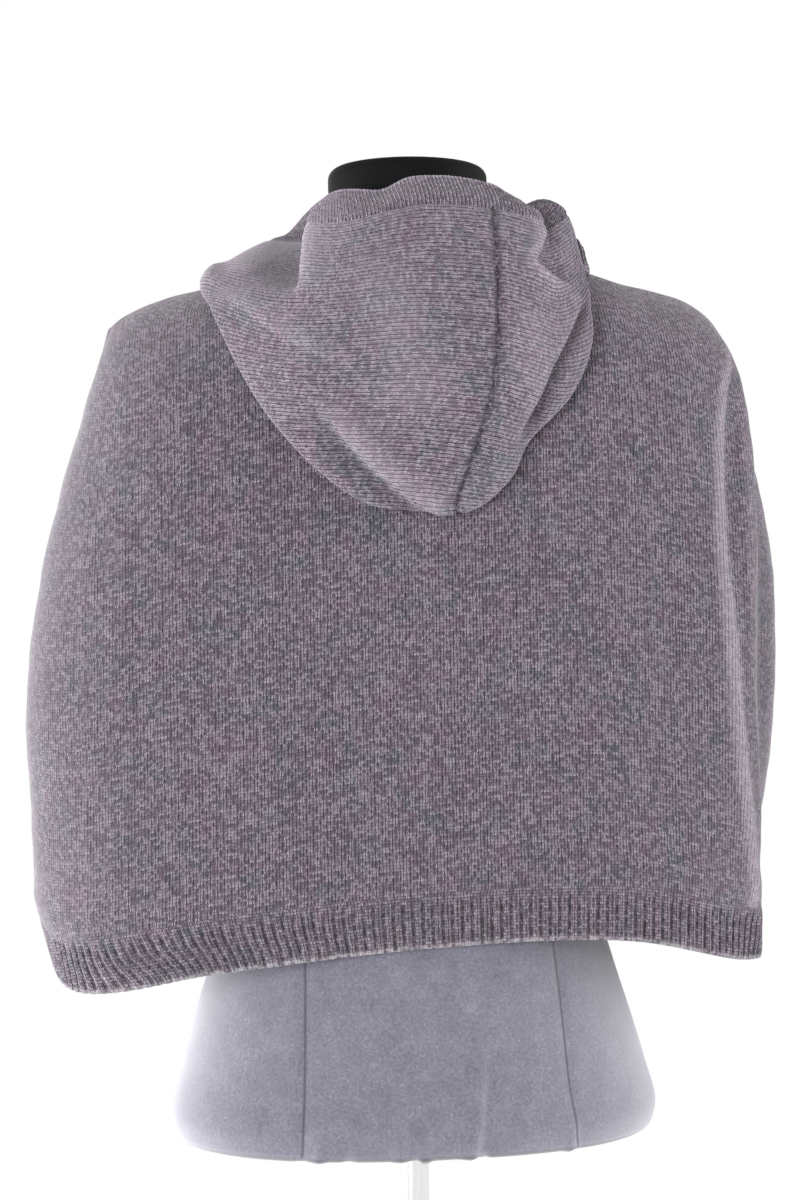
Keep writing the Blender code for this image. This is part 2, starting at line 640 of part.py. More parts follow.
def make_stand(collection):
    top = TORSO_RINGS[0][0] - SEAM_GAP
    low = BASE_THICKNESS + SEAM_GAP
    bpy.ops.mesh.primitive_cylinder_add(vertices=POLE_SIDES, radius=POLE_RADIUS, depth=top - low,
                                        location=(0.0, 0.0, (top + low) / 2))
    made = bpy.context.active_object
    data = made.data
    data.transform(made.matrix_world)
    bpy.data.objects.remove(made)
    data.name = "stand_pole"
    add_object("stand_pole", data, "bright_chrome", collection, smooth_angle=35.0)
    profile = [(0.0, BASE_THICKNESS)] + quarter_round(BASE_RADIUS, BASE_THICKNESS, BASE_EDGE, 3)
    profile += [(BASE_RADIUS, 0.0), (0.0, 0.0)]
    turned_object("stand_base", profile, BASE_SIDES, "satin_steel", collection)


def main():
    for thing in list(bpy.data.objects):
        bpy.data.objects.remove(thing, do_unlink=True)
    collection = bpy.data.collections.new(PART_NAME)
    bpy.context.scene.collection.children.link(collection)
    right_sides = make_body(collection)
    make_hood(collection, right_sides)
    make_torso(collection)
    make_neck_cap(collection)
    make_stand(collection)


main()
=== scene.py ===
import math

import bpy
import numpy as np
from mathutils import Matrix, Vector
from mathutils.bvhtree import BVHTree


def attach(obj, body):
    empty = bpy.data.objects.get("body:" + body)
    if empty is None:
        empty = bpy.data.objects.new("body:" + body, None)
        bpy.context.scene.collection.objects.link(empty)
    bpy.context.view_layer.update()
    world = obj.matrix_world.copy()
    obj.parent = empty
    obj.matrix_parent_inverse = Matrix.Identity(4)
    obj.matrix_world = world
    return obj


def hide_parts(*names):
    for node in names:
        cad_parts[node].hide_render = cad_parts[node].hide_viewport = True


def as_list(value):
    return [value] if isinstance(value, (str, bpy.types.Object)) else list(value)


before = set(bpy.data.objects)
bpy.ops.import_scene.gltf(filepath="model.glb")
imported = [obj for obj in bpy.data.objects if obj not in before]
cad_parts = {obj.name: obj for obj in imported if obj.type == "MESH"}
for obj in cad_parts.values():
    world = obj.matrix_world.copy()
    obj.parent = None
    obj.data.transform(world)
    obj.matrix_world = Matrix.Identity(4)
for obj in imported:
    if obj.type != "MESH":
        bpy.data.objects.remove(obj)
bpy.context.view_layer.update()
bpy.ops.object.select_all(action="DESELECT")
print("frame loaded, nodes:", len(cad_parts))


# ---- small helpers that the cloth shapes share

def ease(value, low, high):
    t = np.clip((value - low) / (high - low), 0.0, 1.0)
    return t * t * (3 - 2 * t)


def bell(value, width):
    return np.exp(-(value / width) ** 2)


def unit(vectors):
    return vectors / np.maximum(np.linalg.norm(vectors, axis=-1, keepdims=True), 1e-9)


def facing(side):
    return 1.0 if side == "back" else -1.0


def smoothRead(place, places, values):
    # reads a short table along a smooth curve through its rows
    places = np.asarray(places, float)
    values = np.asarray(values, float)
    if places[0] > places[-1]:
        places = places[::-1]
        values = values[::-1]
    slopes = np.gradient(values, places)
    place = np.clip(place, places[0], places[-1])
    row = np.clip(np.searchsorted(places, place) - 1, 0, len(places) - 2)
    span = places[row + 1] - places[row]
    t = (place - places[row]) / span
    start = (1 + 2 * t) * (1 - t) ** 2 * values[row] + t * (1 - t) ** 2 * span * slopes[row]
    end = t * t * (3 - 2 * t) * values[row + 1] + t * t * (t - 1) * span * slopes[row + 1]
    return start + end


def gridNormals(points):
    return unit(np.cross(np.gradient(points, axis=1), np.gradient(points, axis=0)))


def outwardNormals(points):
    # unit normals of a grid of points that point away from the upright line at x, y = 0
    normals = gridNormals(points)
    return -normals if np.sum(normals[..., :2] * points[..., :2]) < 0 else normals


def runAlong(points, middle):
    # the run along each row of points, counted from the middle column
    steps = np.linalg.norm(np.diff(points, axis=1), axis=-1)
    run = np.concatenate((np.zeros((len(points), 1)), np.cumsum(steps, axis=1)), axis=1)
    return run - run[:, middle:middle + 1]


def gridFaces(index):
    # the four corners of each cell of a grid of point numbers
    corners = (index[:-1, :-1], index[:-1, 1:], index[1:, 1:], index[1:, :-1])
    return np.stack(corners, axis=-1).reshape(-1, 4)


def writeAttribute(mesh, name, values):
    layer = mesh.attributes.new(name, "FLOAT", "POINT")
    layer.data.foreach_set("value", values.astype(np.float32).ravel())


def newObject(name, data):
    thing = bpy.data.objects.new(name, data)
    bpy.context.scene.collection.objects.link(thing)
    return thing


def clothPiece(name, outer, inner, uv, material, shade, light=None, lip=0):
    # a closed wall of cloth: right side, a rounded lip at its last row, wrong side
    rows, columns = outer.shape[:2]
    layers = [outer]
    uvs = [uv]
    if lip:
        middle = (outer[-1] + inner[-1]) / 2
        half = (outer[-1] - inner[-1]) / 2
        out = unit(outer[-1] - outer[-2]) * np.linalg.norm(half, axis=-1, keepdims=True)
        turns = np.linspace(0.0, math.pi, lip + 2)[1:-1]
        layers.append(np.array([middle + half * math.cos(a) + out * math.sin(a) for a in turns]))
        uvs.append(np.repeat(uv[-1:], lip, axis=0))
    layers.append(inner[::-1])
    uvs.append(uv[::-1])
    points = np.concatenate(layers)
    coords = np.concatenate(uvs)
    total = len(points)
    index = np.arange(total * columns).reshape(total, columns)
    quads = [gridFaces(np.concatenate((index, index[:1])))]
    # the two side edges between right and wrong side
    mirrored = index[::-1]
    for j, order in ((0, 1), (columns - 1, -1)):
        corners = (index[:rows - 1, j], index[1:rows, j], mirrored[1:rows, j], mirrored[:rows - 1, j])
        quads.append(np.stack(corners, axis=-1)[:, ::order])
    quads = np.concatenate(quads)
    faces = quads.tolist()
    if lip:
        faces.append(index[rows - 1:rows + lip + 1, 0].tolist())
        faces.append(index[rows - 1:rows + lip + 1, -1][::-1].tolist())
    flat = points.reshape(-1, 3)
    a, b, c, d = (flat[quads[:, k]] for k in range(4))
    volume = np.sum(np.cross(a, b) * c) + np.sum(np.cross(a, c) * d)
    if volume < 0:
        faces = [face[::-1] for face in faces]
    mesh = bpy.data.meshes.new(name)
    mesh.from_pydata(flat.tolist(), [], faces)
    layer = mesh.uv_layers.new(name="knit")
    corners = np.empty(len(mesh.loops), dtype=np.int32)
    mesh.loops.foreach_get("vertex_index", corners)
    layer.data.foreach_set("uv", coords.reshape(-1, 2)[corners].astype(np.float32).ravel())
    # seams are shaded on both sides; the painted highlight and painted shade of folds lie on the right side
    # only
    for layerName, values, wrongSide in (("seamShade", shade, 1.0), ("paintedFoldLight", light, 0.0)):
        if values is not None:
            atLip = np.repeat(values[-1:], lip, axis=0)
            writeAttribute(mesh, layerName, np.concatenate([values, atLip, wrongSide * values[::-1]]))
    nap = np.zeros(points.shape[:2])
    nap[rows - 1:rows + lip] = 1.0 if lip else 0.0
    writeAttribute(mesh, "edgeNap", nap)
    mesh.shade_smooth()
    mesh.set_sharp_from_angle(angle=math.radians(60))
    mesh.materials.append(material)
    return newObject(name, mesh)


# ---- the body: a wide tube without sleeves that hangs from the shoulders

body = {
    "wall": 0.0030,
    "seamGap": 0.0003,
    "lip": 4,                 # rows round a free edge
    # z, left, right, back, front, squareness of the ring of cloth at that height
    "rings": (
        (1.430, 0.223, 0.231, 0.077, 0.072, 2.6),
        (1.370, 0.227, 0.237, 0.090, 0.090, 2.8),
        (1.320, 0.240, 0.2475, 0.100, 0.112, 3.0),
        (1.250, 0.259, 0.2670, 0.106, 0.132, 3.1),
        (1.180, 0.276, 0.275, 0.110, 0.138, 3.2),
        (1.100, 0.286, 0.275, 0.113, 0.140, 3.2),
        (1.020, 0.284, 0.268, 0.117, 0.142, 3.2),
        (0.950, 0.281, 0.256, 0.120, 0.145, 3.2),
        (0.880, 0.264, 0.250, 0.119, 0.145, 3.2),
    ),
    "ringNames": ("z", "left", "right", "back", "front", "square"),
    "ringSteps": 1600,
    "referenceHeight": 1.10,
    "shoulderX": (0.080, 0.115, 0.150, 0.190, 0.215, 0.240),
    "shoulderZ": (1.425, 1.4125, 1.4005, 1.3895, 1.3795, 1.3620),
    "tipLeft": 0.224,
    "tipRight": 0.237,
    "lean": 0.021,
    "leanRise": (1.25, 1.36),
    "leanEnd": (1.425, 1.440),
    "neckShare": 0.40,
    "neckHalfWidth": 0.084,
    "neckBack": (0.062, 0.017, 1.5),       # depth, dip, power of the dip
    "neckFront": (0.086, 0.080, 1.8),
    "capShare": (0.0, 0.4, 0.8, 1.0),
    "capDrop": (0.075, 0.085, 0.070, 0.030),
    "hemShare": (-1.0, -0.85, -0.45, 0.0, 0.45, 0.85, 1.0),
    "hemBack": (0.8985, 0.898, 0.922, 0.922, 0.908, 0.891, 0.901),
    "hemFront": (0.8985, 0.900, 0.902, 0.900, 0.900, 0.902, 0.901),
    "ribHeight": 0.0370,
    # side, top, low, place at top, middle and low, width, depth of the long folds
    "folds": (
        ("back", 1.365, 0.900, -0.90, -0.690, -0.87, 0.050, 0.0060),
        ("back", 1.350, 0.905, -1.00, -0.825, -1.00, 0.075, -0.0140),
        ("back", 1.330, 0.930, 0.86, 0.78, 0.84, 0.110, -0.0030),
        ("front", 1.200, 0.885, 0.34, 0.42, 0.50, 0.100, 0.0090),
        ("front", 1.180, 0.885, -0.30, -0.40, -0.46, 0.110, 0.0100),
        ("front", 1.150, 0.885, 0.02, 0.04, 0.06, 0.130, -0.0070),
        ("front", 1.300, 0.900, 0.90, 0.76, 0.80, 0.080, -0.0110),
        ("front", 1.280, 0.900, -0.92, -0.78, -0.84, 0.080, -0.0100),
    ),
    "foldFade": 0.07,
    "foldEnd": (0.93, 1.0),     # folds die out before the side seams
    # height and place of the ridge by the wearer's right arm
    "ridgeLine": (
        (0.900, -0.800), (0.957, -0.768), (1.010, -0.715), (1.060, -0.680), (1.126, -0.656),
        (1.203, -0.648), (1.239, -0.664), (1.272, -0.690), (1.300, -0.725), (1.327, -0.780),
        (1.363, -0.930),
    ),
    "ridgeWidths": (0.013, 0.010),
    "ridgeHeight": 0.0024,
    "ridgeEnds": ((0.90, 0.97), (1.345, 1.375)),
    "reliefEnd": (1.30, 1.35),
    "ridgePaintedHighlight": 1.9,
    "valley": (2.6, 1.6),     # place and width, in widths of the ridge
    "valleyDepth": 0.8,
    "valleyPaintedShade": 0.5,
    "sidePaintedLight": 0.5,          # painted light: how much paler the cloth beyond that ridge is made
    "sidePaintedLightFrom": (0.78, 0.96),
    "columns": 250,
    "capRows": 26,
    "rows": 132,
    "ribColumns": 860,
    "ribRows": 12,
    "ribPitch": 0.0070,
    "ribDepth": 0.0012,
    "ribLean": ((-1.0, -0.7, -0.2, 0.15, 0.42, 0.62, 0.80, 1.0),
                (0.05, 0.0, 0.0, 0.05, 0.22, 0.42, 0.12, 0.0)),
    "ribRound": 0.6,          # under 1 the ribs are broad and the furrows narrow
    "ribStart": (0.10, 0.09, 0.16),       # share of the height, how it varies, run to full depth
    "ribStartWaves": ((2.3, 0.0), (0.71, 1.0)),
    "ribEnd": (0.30, 0.92),   # how much flatter it is at its low edge, and from where
    "ribCurve": (0.6, 0.3),   # how much more it leans below this share of its height
    "ribPull": 0.0010,        # the rib draws in a little
    "ribShade": 0.9,
    "ribShadeRange": (-0.4, 0.9),
    "blouse": (0.0016, 0.016, 0.012),     # how far the cloth stands over the rib, where, how broadly
    "wobble": 0.0007,         # slight unevenness of the hanging cloth
    "wobbleRise": 0.03,
    # its waves: strength, then how fast each of two runs along x, y and z, and its phase
    "waves": (
        (1.0, (41, 0, 17, 0.6), (-9, 0, 23, 1.1)),
        (0.6, (83, 0, -31, 2.0), (0, 19, 57, 0.4)),
        (0.35, (171, 0, 92, 0.0), (-61, 0, 143, 0.9)),
    ),
    "seamDip": 0.0012,
    "seamWidth": 0.0050,
    "seamShade": 0.7,
    "cornerReach": 0.0060,
    "cornerLean": (0.6, 0.8),
    "heart": (0.0, 0.0, 1.25),            # a place inside, to tell outside from inside
    "fullPaintedLight": 0.0200,      # height at which a fold would have its full painted highlight
}


def leanOf(x, z):
    return -body["lean"] * x * ease(z, *body["leanRise"]) * (1.0 - ease(z, *body["leanEnd"]))


def ringRead(z, name):
    column = body["ringNames"].index(name)
    return smoothRead(z, [row[0] for row in body["rings"]], [row[column] for row in body["rings"]])


def superellipse(turn, halfWidth, depth, square):
    power = 2.0 / square
    x = halfWidth * np.sign(np.cos(turn)) * np.abs(np.cos(turn)) ** power
    return x, depth * np.abs(np.sin(turn)) ** power


def turnOfShare(share):
    turns = np.linspace(0.0, math.pi, body["ringSteps"])
    height = body["referenceHeight"]
    x, y = superellipse(turns, *(ringRead(height, name) for name in ("left", "back", "square")))
    length = np.concatenate(([0.0], np.cumsum(np.hypot(np.diff(x), np.diff(y)))))
    return np.interp((1.0 - share) / 2.0, length / length[-1], turns)


def foldOffset(side, share, z):
    offset = np.zeros(np.broadcast(share, z).shape)
    for where, top, low, atTop, atMiddle, atLow, width, depth in body["folds"]:
        if where != side:
            continue
        t = np.clip((top - z) / (top - low), 0.0, 1.0)
        line = (1 - t) * (1 - 2 * t) * atTop + 4 * t * (1 - t) * atMiddle + t * (2 * t - 1) * atLow
        run = 1.0 - ease(z, top - body["foldFade"], top)
        run = run * ease(z, low - body["foldFade"], low)
        offset = offset + depth * run * bell(share - line, width)
    return offset * (1.0 - ease(np.abs(share), *body["foldEnd"]))


def ringPoint(side, share, z):
    turn = turnOfShare(share)
    halfWidth = np.where(share > 0, ringRead(z, "left"), ringRead(z, "right"))
    x, y = superellipse(turn, halfWidth, ringRead(z, side), ringRead(z, "square"))
    outX = np.cos(turn) * np.abs(np.cos(turn)) ** 0.5
    outY = np.sin(turn)
    length = np.hypot(outX, outY)
    offset = foldOffset(side, share, z)
    return x + offset * outX / length, y + offset * outY / length


def topEdge(side, share):
    depth, dip, power = body["neckBack"] if side == "back" else body["neckFront"]
    neckShare = body["neckShare"]
    quarter = np.clip(share / neckShare, -1.0, 1.0) * math.pi / 2
    tip = np.where(share > 0, body["tipLeft"], body["tipRight"])
    beyond = np.clip((np.abs(share) - neckShare) / (1.0 - neckShare), 0.0, 1.0)
    x = body["neckHalfWidth"] * np.sin(quarter) + np.sign(share) * (tip - body["neckHalfWidth"]) * beyond
    around = np.maximum(np.cos(quarter), 0.0)
    z = smoothRead(np.abs(x), body["shoulderX"], body["shoulderZ"]) - dip * around ** power
    return x, depth * np.where(np.abs(share) < neckShare, around, 0.0), z


def hemHeight(side, share):
    return smoothRead(share, body["hemShare"], body["hemBack"] if side == "back" else body["hemFront"])


def panelPoint(side, share, fall):
    topX, topY, topZ = topEdge(side, share)
    drop = smoothRead(np.abs(share), body["capShare"], body["capDrop"])
    turn = np.clip(fall, 0.0, 1.0) * math.pi / 2
    capZ = topZ - drop * (1.0 - np.cos(turn))
    ribZ = hemHeight(side, share) + body["ribHeight"]
    z = np.where(fall < 1.0, capZ, capZ + (ribZ - capZ) * (fall - 1.0))
    x, y = ringPoint(side, share, z)
    x = topX + (x - topX) * np.sin(turn)
    y = topY + (y - topY) * np.sin(turn)
    return np.stack([x, facing(side) * y, z + leanOf(x, z)], axis=-1)


def ribPoint(side, share, fall):
    z = hemHeight(side, share) + body["ribHeight"] * (1.0 - fall)
    x, y = ringPoint(side, share, z)
    return np.stack([x, facing(side) * y, z], axis=-1)


def waleCoordinates(points, middle):
    # wales stand upright: across is the run along a row from the middle column,
    # along is what is left of the run down a column, counted up from the last row
    across = runAlong(points[..., :2], middle)
    down = np.linalg.norm(np.diff(points, axis=0), axis=-1)
    along = np.sqrt(np.maximum(down ** 2 - np.diff(across, axis=0) ** 2, 1e-12))
    along = np.concatenate((np.cumsum(along[::-1], axis=0)[::-1], np.zeros((1, points.shape[1]))))
    return np.stack([across, along], axis=-1)


def wobbleOf(points):
    x, y, z = (points[..., k] for k in range(3))
    total = 0.0
    for strength, *pair in body["waves"]:
        first, second = (np.sin(a * x + b * y + c * z + phase) for a, b, c, phase in pair)
        total = total + strength * first * second
    return body["wobble"] * total


def sideRidge(share, z):
    # the ridge of the long fold by the wearer's right arm and the valley beside it, as masks for the relief
    # and for its painted highlight and painted shade
    (low, lowFull), (highFull, high) = body["ridgeEnds"]
    run = ease(z, low, lowFull) * (1.0 - ease(z, highFull, high))
    near, far = body["ridgeWidths"]
    valleyPlace, valleyWidth = body["valley"]
    aside = share - smoothRead(z, *zip(*body["ridgeLine"]))
    ridge = bell(aside, np.where(aside > 0, near, far)) * run
    return ridge, bell(aside + valleyPlace * near, valleyWidth * near) * run


def bodyPanel(side, material):
    shares = np.linspace(1.0, -1.0, body["columns"] + 1)
    cap = np.linspace(0.0, 1.0, body["capRows"] + 1)
    falls = np.concatenate((cap, np.linspace(1.0, 2.0, body["rows"] + 1)[1:]))
    share, fall = np.meshgrid(shares, falls)
    plain = panelPoint(side, share, fall)
    z = plain[..., 2]
    uv = waleCoordinates(plain, body["columns"] // 2)
    normals = outwardNormals(plain)
    sideRun = np.abs(np.abs(uv[..., 0]) - np.abs(uv[..., 0]).max(axis=1, keepdims=True))
    topRun = np.cumsum(np.linalg.norm(np.diff(plain, axis=0, prepend=plain[:1]), axis=-1), axis=0)
    shoulder = np.where(np.abs(share) > body["neckShare"], 1.0, 0.0)
    dip = np.maximum(bell(sideRun, body["seamWidth"]), shoulder * bell(topRun, body["seamWidth"]))
    height, above, width = body["blouse"]
    blouse = height * bell(uv[..., 1] - above, width)
    quiet = ease(uv[..., 1], 0.0, body["wobbleRise"])
    offset = wobbleOf(plain) * quiet - body["seamDip"] * dip + blouse * (1.0 - dip)
    # painted fold light: paler on raised folds and darker on sunk ones, from their height
    light = foldOffset(side, share, z) / body["fullPaintedLight"]
    if side == "back":
        ridge, valley = sideRidge(share, z)
        relief = body["ridgeHeight"] * (1.0 - ease(z, *body["reliefEnd"]))
        offset = offset + relief * (ridge - body["valleyDepth"] * valley)
        # painted highlight on the side ridge and painted shade in its valley
        light = light + body["ridgePaintedHighlight"] * ridge - body["valleyPaintedShade"] * valley
    # painted light on the cloth beyond the ridge by the wearer's right arm
    light = np.clip(light + body["sidePaintedLight"] * ease(-share, *body["sidePaintedLightFrom"]), -1.0, 1.0)
    # the ends of the shoulders are pinched, and lean outwards
    lean, up = body["cornerLean"]
    for corner, towards in ((plain[0, 0], lean), (plain[0, -1], -lean)):
        near = bell(np.linalg.norm(plain - corner, axis=-1), body["cornerReach"])[..., None]
        normals = normals * (1.0 - near) + near * np.array((towards, 0.0, up))
    normals[0, :, 1] *= 1.0 - shoulder[0]
    normals[:, (0, -1), 1] = 0.0
    normals = unit(normals)
    outer = plain + normals * offset[..., None]
    inner = outer - body["wall"] * normals
    # neither panel crosses the side seams
    for layer in (outer, inner):
        layer[..., 1] = facing(side) * np.maximum(facing(side) * layer[..., 1], body["seamGap"] / 2)
    shade = body["seamShade"] * dip
    return clothPiece(side + "Panel", outer, inner, uv, material, shade, light), plain


def hemRib(side, material):
    shares = np.linspace(1.0, -1.0, body["ribColumns"] + 1)
    share, fall = np.meshgrid(shares, np.linspace(0.0, 1.0, body["ribRows"] + 1))
    plain = ribPoint(side, share, fall)
    uv = waleCoordinates(plain, body["ribColumns"] // 2)
    normals = outwardNormals(plain)
    # towards the wearer's left the ribs lean, and each one starts at its own height
    lean = smoothRead(share, *body["ribLean"]) if side == "back" else 0.0 * share
    curve, curveFrom = body["ribCurve"]
    run = uv[..., 0] - lean * body["ribHeight"] * (fall + curve * ease(fall, curveFrom, 1.0) - curveFrom)
    rib = run / body["ribPitch"]
    ridge = 2.0 * (0.5 + 0.5 * np.cos(2 * math.pi * rib)) ** body["ribRound"] - 1.0
    first, varied, grown = body["ribStart"]
    quick, slow = (np.sin(np.round(rib) * speed + phase) for speed, phase in body["ribStartWaves"])
    start = first + varied * quick * slow
    loss, lossFrom = body["ribEnd"]
    grow = ease(fall, start - first, start + grown) * (1.0 - loss * ease(fall, lossFrom, 1.0))
    uv[..., 0] = run
    pull = body["ribPull"] * ease(fall, 0.0, curveFrom)
    outer = plain + normals * (body["ribDepth"] * ridge * grow - pull)[..., None]
    normals[:, (0, -1), 1] = 0.0
    inner = outer - body["wall"] * unit(normals)
    uv[..., 1] -= body["ribHeight"]
    shade = body["ribShade"] * ease(0.1 - ridge, *body["ribShadeRange"]) * grow
    return clothPiece("hemRib" + side.capitalize(), outer, inner, uv, material, shade, lip=body["lip"])


# ---- the hood: two halves sewn together over the head, folded down on the back

hood = {
    # where its ends meet at the front: bend of the outer fold, then fold, swell, crest and face edge
    "meeting": (0.005, (0.000, -0.118, 1.350), (0.000, -0.125, 1.366),
                (0.000, -0.121, 1.383), (0.000, -0.109, 1.397)),
    # place on the neckline, and then the same between the two ends
    "stations": (
        (-0.80, 0.006, (-0.096, -0.085, 1.362), (-0.092, -0.087, 1.390),
         (-0.077, -0.077, 1.414), (-0.062, -0.063, 1.426)),
        (-0.56, 0.008, (-0.121, 0.000, 1.404), (-0.115, 0.000, 1.433),
         (-0.097, 0.000, 1.461), (-0.077, -0.005, 1.455)),
        (-0.45, 0.009, (-0.116, 0.069, 1.377), (-0.117, 0.078, 1.408),
         (-0.109, 0.050, 1.452), (-0.080, 0.040, 1.455)),
        (-0.385, 0.009, (-0.1165, 0.0957, 1.344), (-0.108, 0.110, 1.377),
         (-0.097, 0.083, 1.437), (-0.076, 0.062, 1.454)),
        (-0.32, 0.009, (-0.101, 0.115, 1.309), (-0.092, 0.129, 1.350),
         (-0.085, 0.106, 1.424), (-0.073, 0.078, 1.453)),
        (-0.24, 0.009, (-0.070, 0.123, 1.2765), (-0.076, 0.140, 1.333),
         (-0.077, 0.118, 1.424), (-0.067, 0.086, 1.454)),
        (-0.16, 0.009, (-0.0530, 0.125, 1.247), (-0.061, 0.147, 1.322),
         (-0.068, 0.126, 1.426), (-0.060, 0.092, 1.456)),
        (0.00, 0.009, (-0.018, 0.125, 1.226), (-0.040, 0.151, 1.320),
         (-0.044, 0.131, 1.428), (-0.043, 0.096, 1.462)),
        (0.18, 0.009, (0.052, 0.125, 1.236), (0.022, 0.153, 1.322),
         (0.008, 0.131, 1.430), (0.004, 0.097, 1.466)),
        (0.32, 0.009, (0.1155, 0.118, 1.2955), (0.085, 0.139, 1.355),
         (0.057, 0.117, 1.424), (0.046, 0.087, 1.458)),
        (0.45, 0.007, (0.1525, 0.060, 1.378), (0.127, 0.072, 1.405),
         (0.092, 0.058, 1.434), (0.067, 0.050, 1.457)),
        (0.56, 0.006, (0.145, -0.010, 1.398), (0.128, -0.010, 1.423),
         (0.100, -0.010, 1.439), (0.074, -0.010, 1.450)),
        (0.80, 0.006, (0.098, -0.085, 1.362), (0.092, -0.086, 1.388),
         (0.075, -0.076, 1.411), (0.060, -0.062, 1.424)),
    ),
    "seamStation": 8,
    "layerGap": 0.0034,
    "topRise": 1.5,
    "bandHeight": 0.038,
    "bandWale": 0.0028,
    "neckStand": 0.010,
    "standShare": 0.35,
    "rollOut": 0.022,
    "rollShare": 0.35,
    "foldBack": 0.020,
    "foldShare": 0.30,
    "foldOver": 0.6,
    "foldOpening": 2.1,
    "bandKnots": 12,
    "bandFiner": 7,
    "columnsPerHalf": 150,
    "rows": 150,
    "lifted": (1.4, 6.5),
    # knots of a section that rows keep to, how near the band they may come, and their share of the rows
    "markKnots": (0.0, 3.0, 6.0, 8.0),
    "markLimits": (0.0, 0.9, 0.95, 0.98),
    "markRows": (0.0, 0.14, 0.48, 0.74, 1.0),
}


def hoodRows():
    return ((-1.00, *hood["meeting"]), *hood["stations"], (1.00, *hood["meeting"]))


def bodyTree(grids):
    points = []
    faces = []
    for grid in grids:
        rows, columns = grid.shape[:2]
        faces.extend(gridFaces(np.arange(rows * columns).reshape(rows, columns) + len(points)).tolist())
        points.extend(grid.reshape(-1, 3).tolist())
    return BVHTree.FromPolygons(points, faces)


def lay(tree, point, lift):
    # the nearest place on the body, lifted off it, and which way is out there
    near, normal, _, _ = tree.find_nearest(Vector(point))
    if normal.dot(near - Vector(body["heart"])) < 0.0:
        normal = -normal
    return np.array(near + normal * lift), np.array(normal)


def necklinePoint(place):
    side = "back" if abs(place) <= 0.5 else "front"
    along = place if side == "back" else math.copysign(1.0, place) - place
    x, y, z = topEdge(side, np.array([body["neckShare"] * along / 0.5]))
    return np.array([x[0], facing(side) * y[0], (z + leanOf(x, z))[0]])


def seamStart(neck):
    # the hood starts a seam's gap above the neckline and inside it
    outwards = unit(neck * (1, 1, 0))
    return neck + np.array([0.0, 0.0, body["seamGap"]]) - outwards * body["seamGap"], outwards


def hoodSection(tree, row):
    place, bend, fold, swell, crest, edge = row
    neck = necklinePoint(place)
    start, outwards = seamStart(neck)
    fold = np.array(fold)
    reach = np.linalg.norm(fold - neck)
    up = np.array([0.0, 0.0, 1.0])
    gap = hood["layerGap"]
    roll = min(hood["rollOut"], hood["rollShare"] * reach) / reach
    back = min(hood["foldBack"], hood["foldShare"] * reach)
    rise = min(hood["neckStand"], hood["standShare"] * (crest[2] - neck[2]))
    stand = start + up * rise
    top = start + outwards * roll * reach * hood["rollShare"] + up * rise * hood["topRise"]
    first, _ = lay(tree, neck + (fold - neck) * roll, gap)
    halfWay = 0.5 * (1.0 + roll - 0.5 * hood["foldBack"] / reach)
    middle, _ = lay(tree, neck + (fold - neck) * halfWay, gap)
    under, _ = lay(tree, fold - (fold - neck) * back / reach, gap)
    base, normal = lay(tree, fold, 0.0)
    along = unit(base - under)
    nose = base + normal * (gap + bend)
    over = base - along * back * hood["foldOver"] + normal * (gap + hood["foldOpening"] * bend)
    return np.array([start, stand, top, first, middle, under, nose, over, swell, crest, edge])


def curveThrough(controls, place):
    last = len(controls) - 1
    i = min(int(place), last - 1)
    t = place - i
    before = controls[i - 1] if i > 0 else 2 * controls[0] - controls[1]
    after = controls[i + 2] if i + 2 <= last else 2 * controls[last] - controls[last - 1]
    a, b = controls[i], controls[i + 1]
    return 0.5 * (2 * a + (b - before) * t + (2 * before - 5 * a + 4 * b - after) * t * t
                  + (3 * a - before - 3 * b + after) * t ** 3)


def hoodSurface(tree):
    # rows run from the neck seam round the fold to the face edge, columns from right to left
    table = hoodRows()
    sections = np.array([hoodSection(tree, row) for row in table])
    half = hood["columnsPerHalf"]
    stations = np.concatenate((np.linspace(0, hood["seamStation"], half + 1),
                               np.linspace(hood["seamStation"], len(table) - 1, half + 1)[1:]))
    knots = np.linspace(0, 10, 401)
    columns = []
    for station in stations:
        section = curveThrough(sections, station)
        neck = necklinePoint(float(np.interp(station, np.arange(len(table)), [row[0] for row in table])))
        section[:3] += seamStart(neck)[0] - section[0]
        fine = np.array([curveThrough(section, knot) for knot in knots])
        length = np.concatenate(([0.0], np.cumsum(np.linalg.norm(np.diff(fine, axis=0), axis=-1))))
        seam = length[-1] - hood["bandHeight"]
        # rows are spread evenly between the neck, the fold, the crest and the band's seam
        marks = np.interp(hood["markKnots"], knots, length)
        marks = np.minimum(marks, seam * np.array(hood["markLimits"]))
        marks = np.maximum.accumulate(np.append(marks, seam))
        run = np.interp(np.linspace(0, 1, hood["rows"] + 1), hood["markRows"], marks)
        run = np.concatenate((run, np.linspace(seam, length[-1], hood["bandKnots"] + 1)[1:]))
        place = np.interp(run, length, knots)
        column = np.stack([np.interp(run, length, fine[:, k]) for k in range(3)], axis=-1)
        # nowhere does it lie closer to the body than the layers allow
        low, high = hood["lifted"]
        for i in np.nonzero((place >= low) & (place <= high))[0]:
            near, normal = lay(tree, column[i], 0.0)
            height = float(np.dot(column[i] - near, normal))
            column[i] = column[i] + normal * max(0.0, hood["layerGap"] - height)
        columns.append((column, place, length[-1] - run))
    return [np.swapaxes(np.array(values), 0, 1) for values in zip(*columns)]
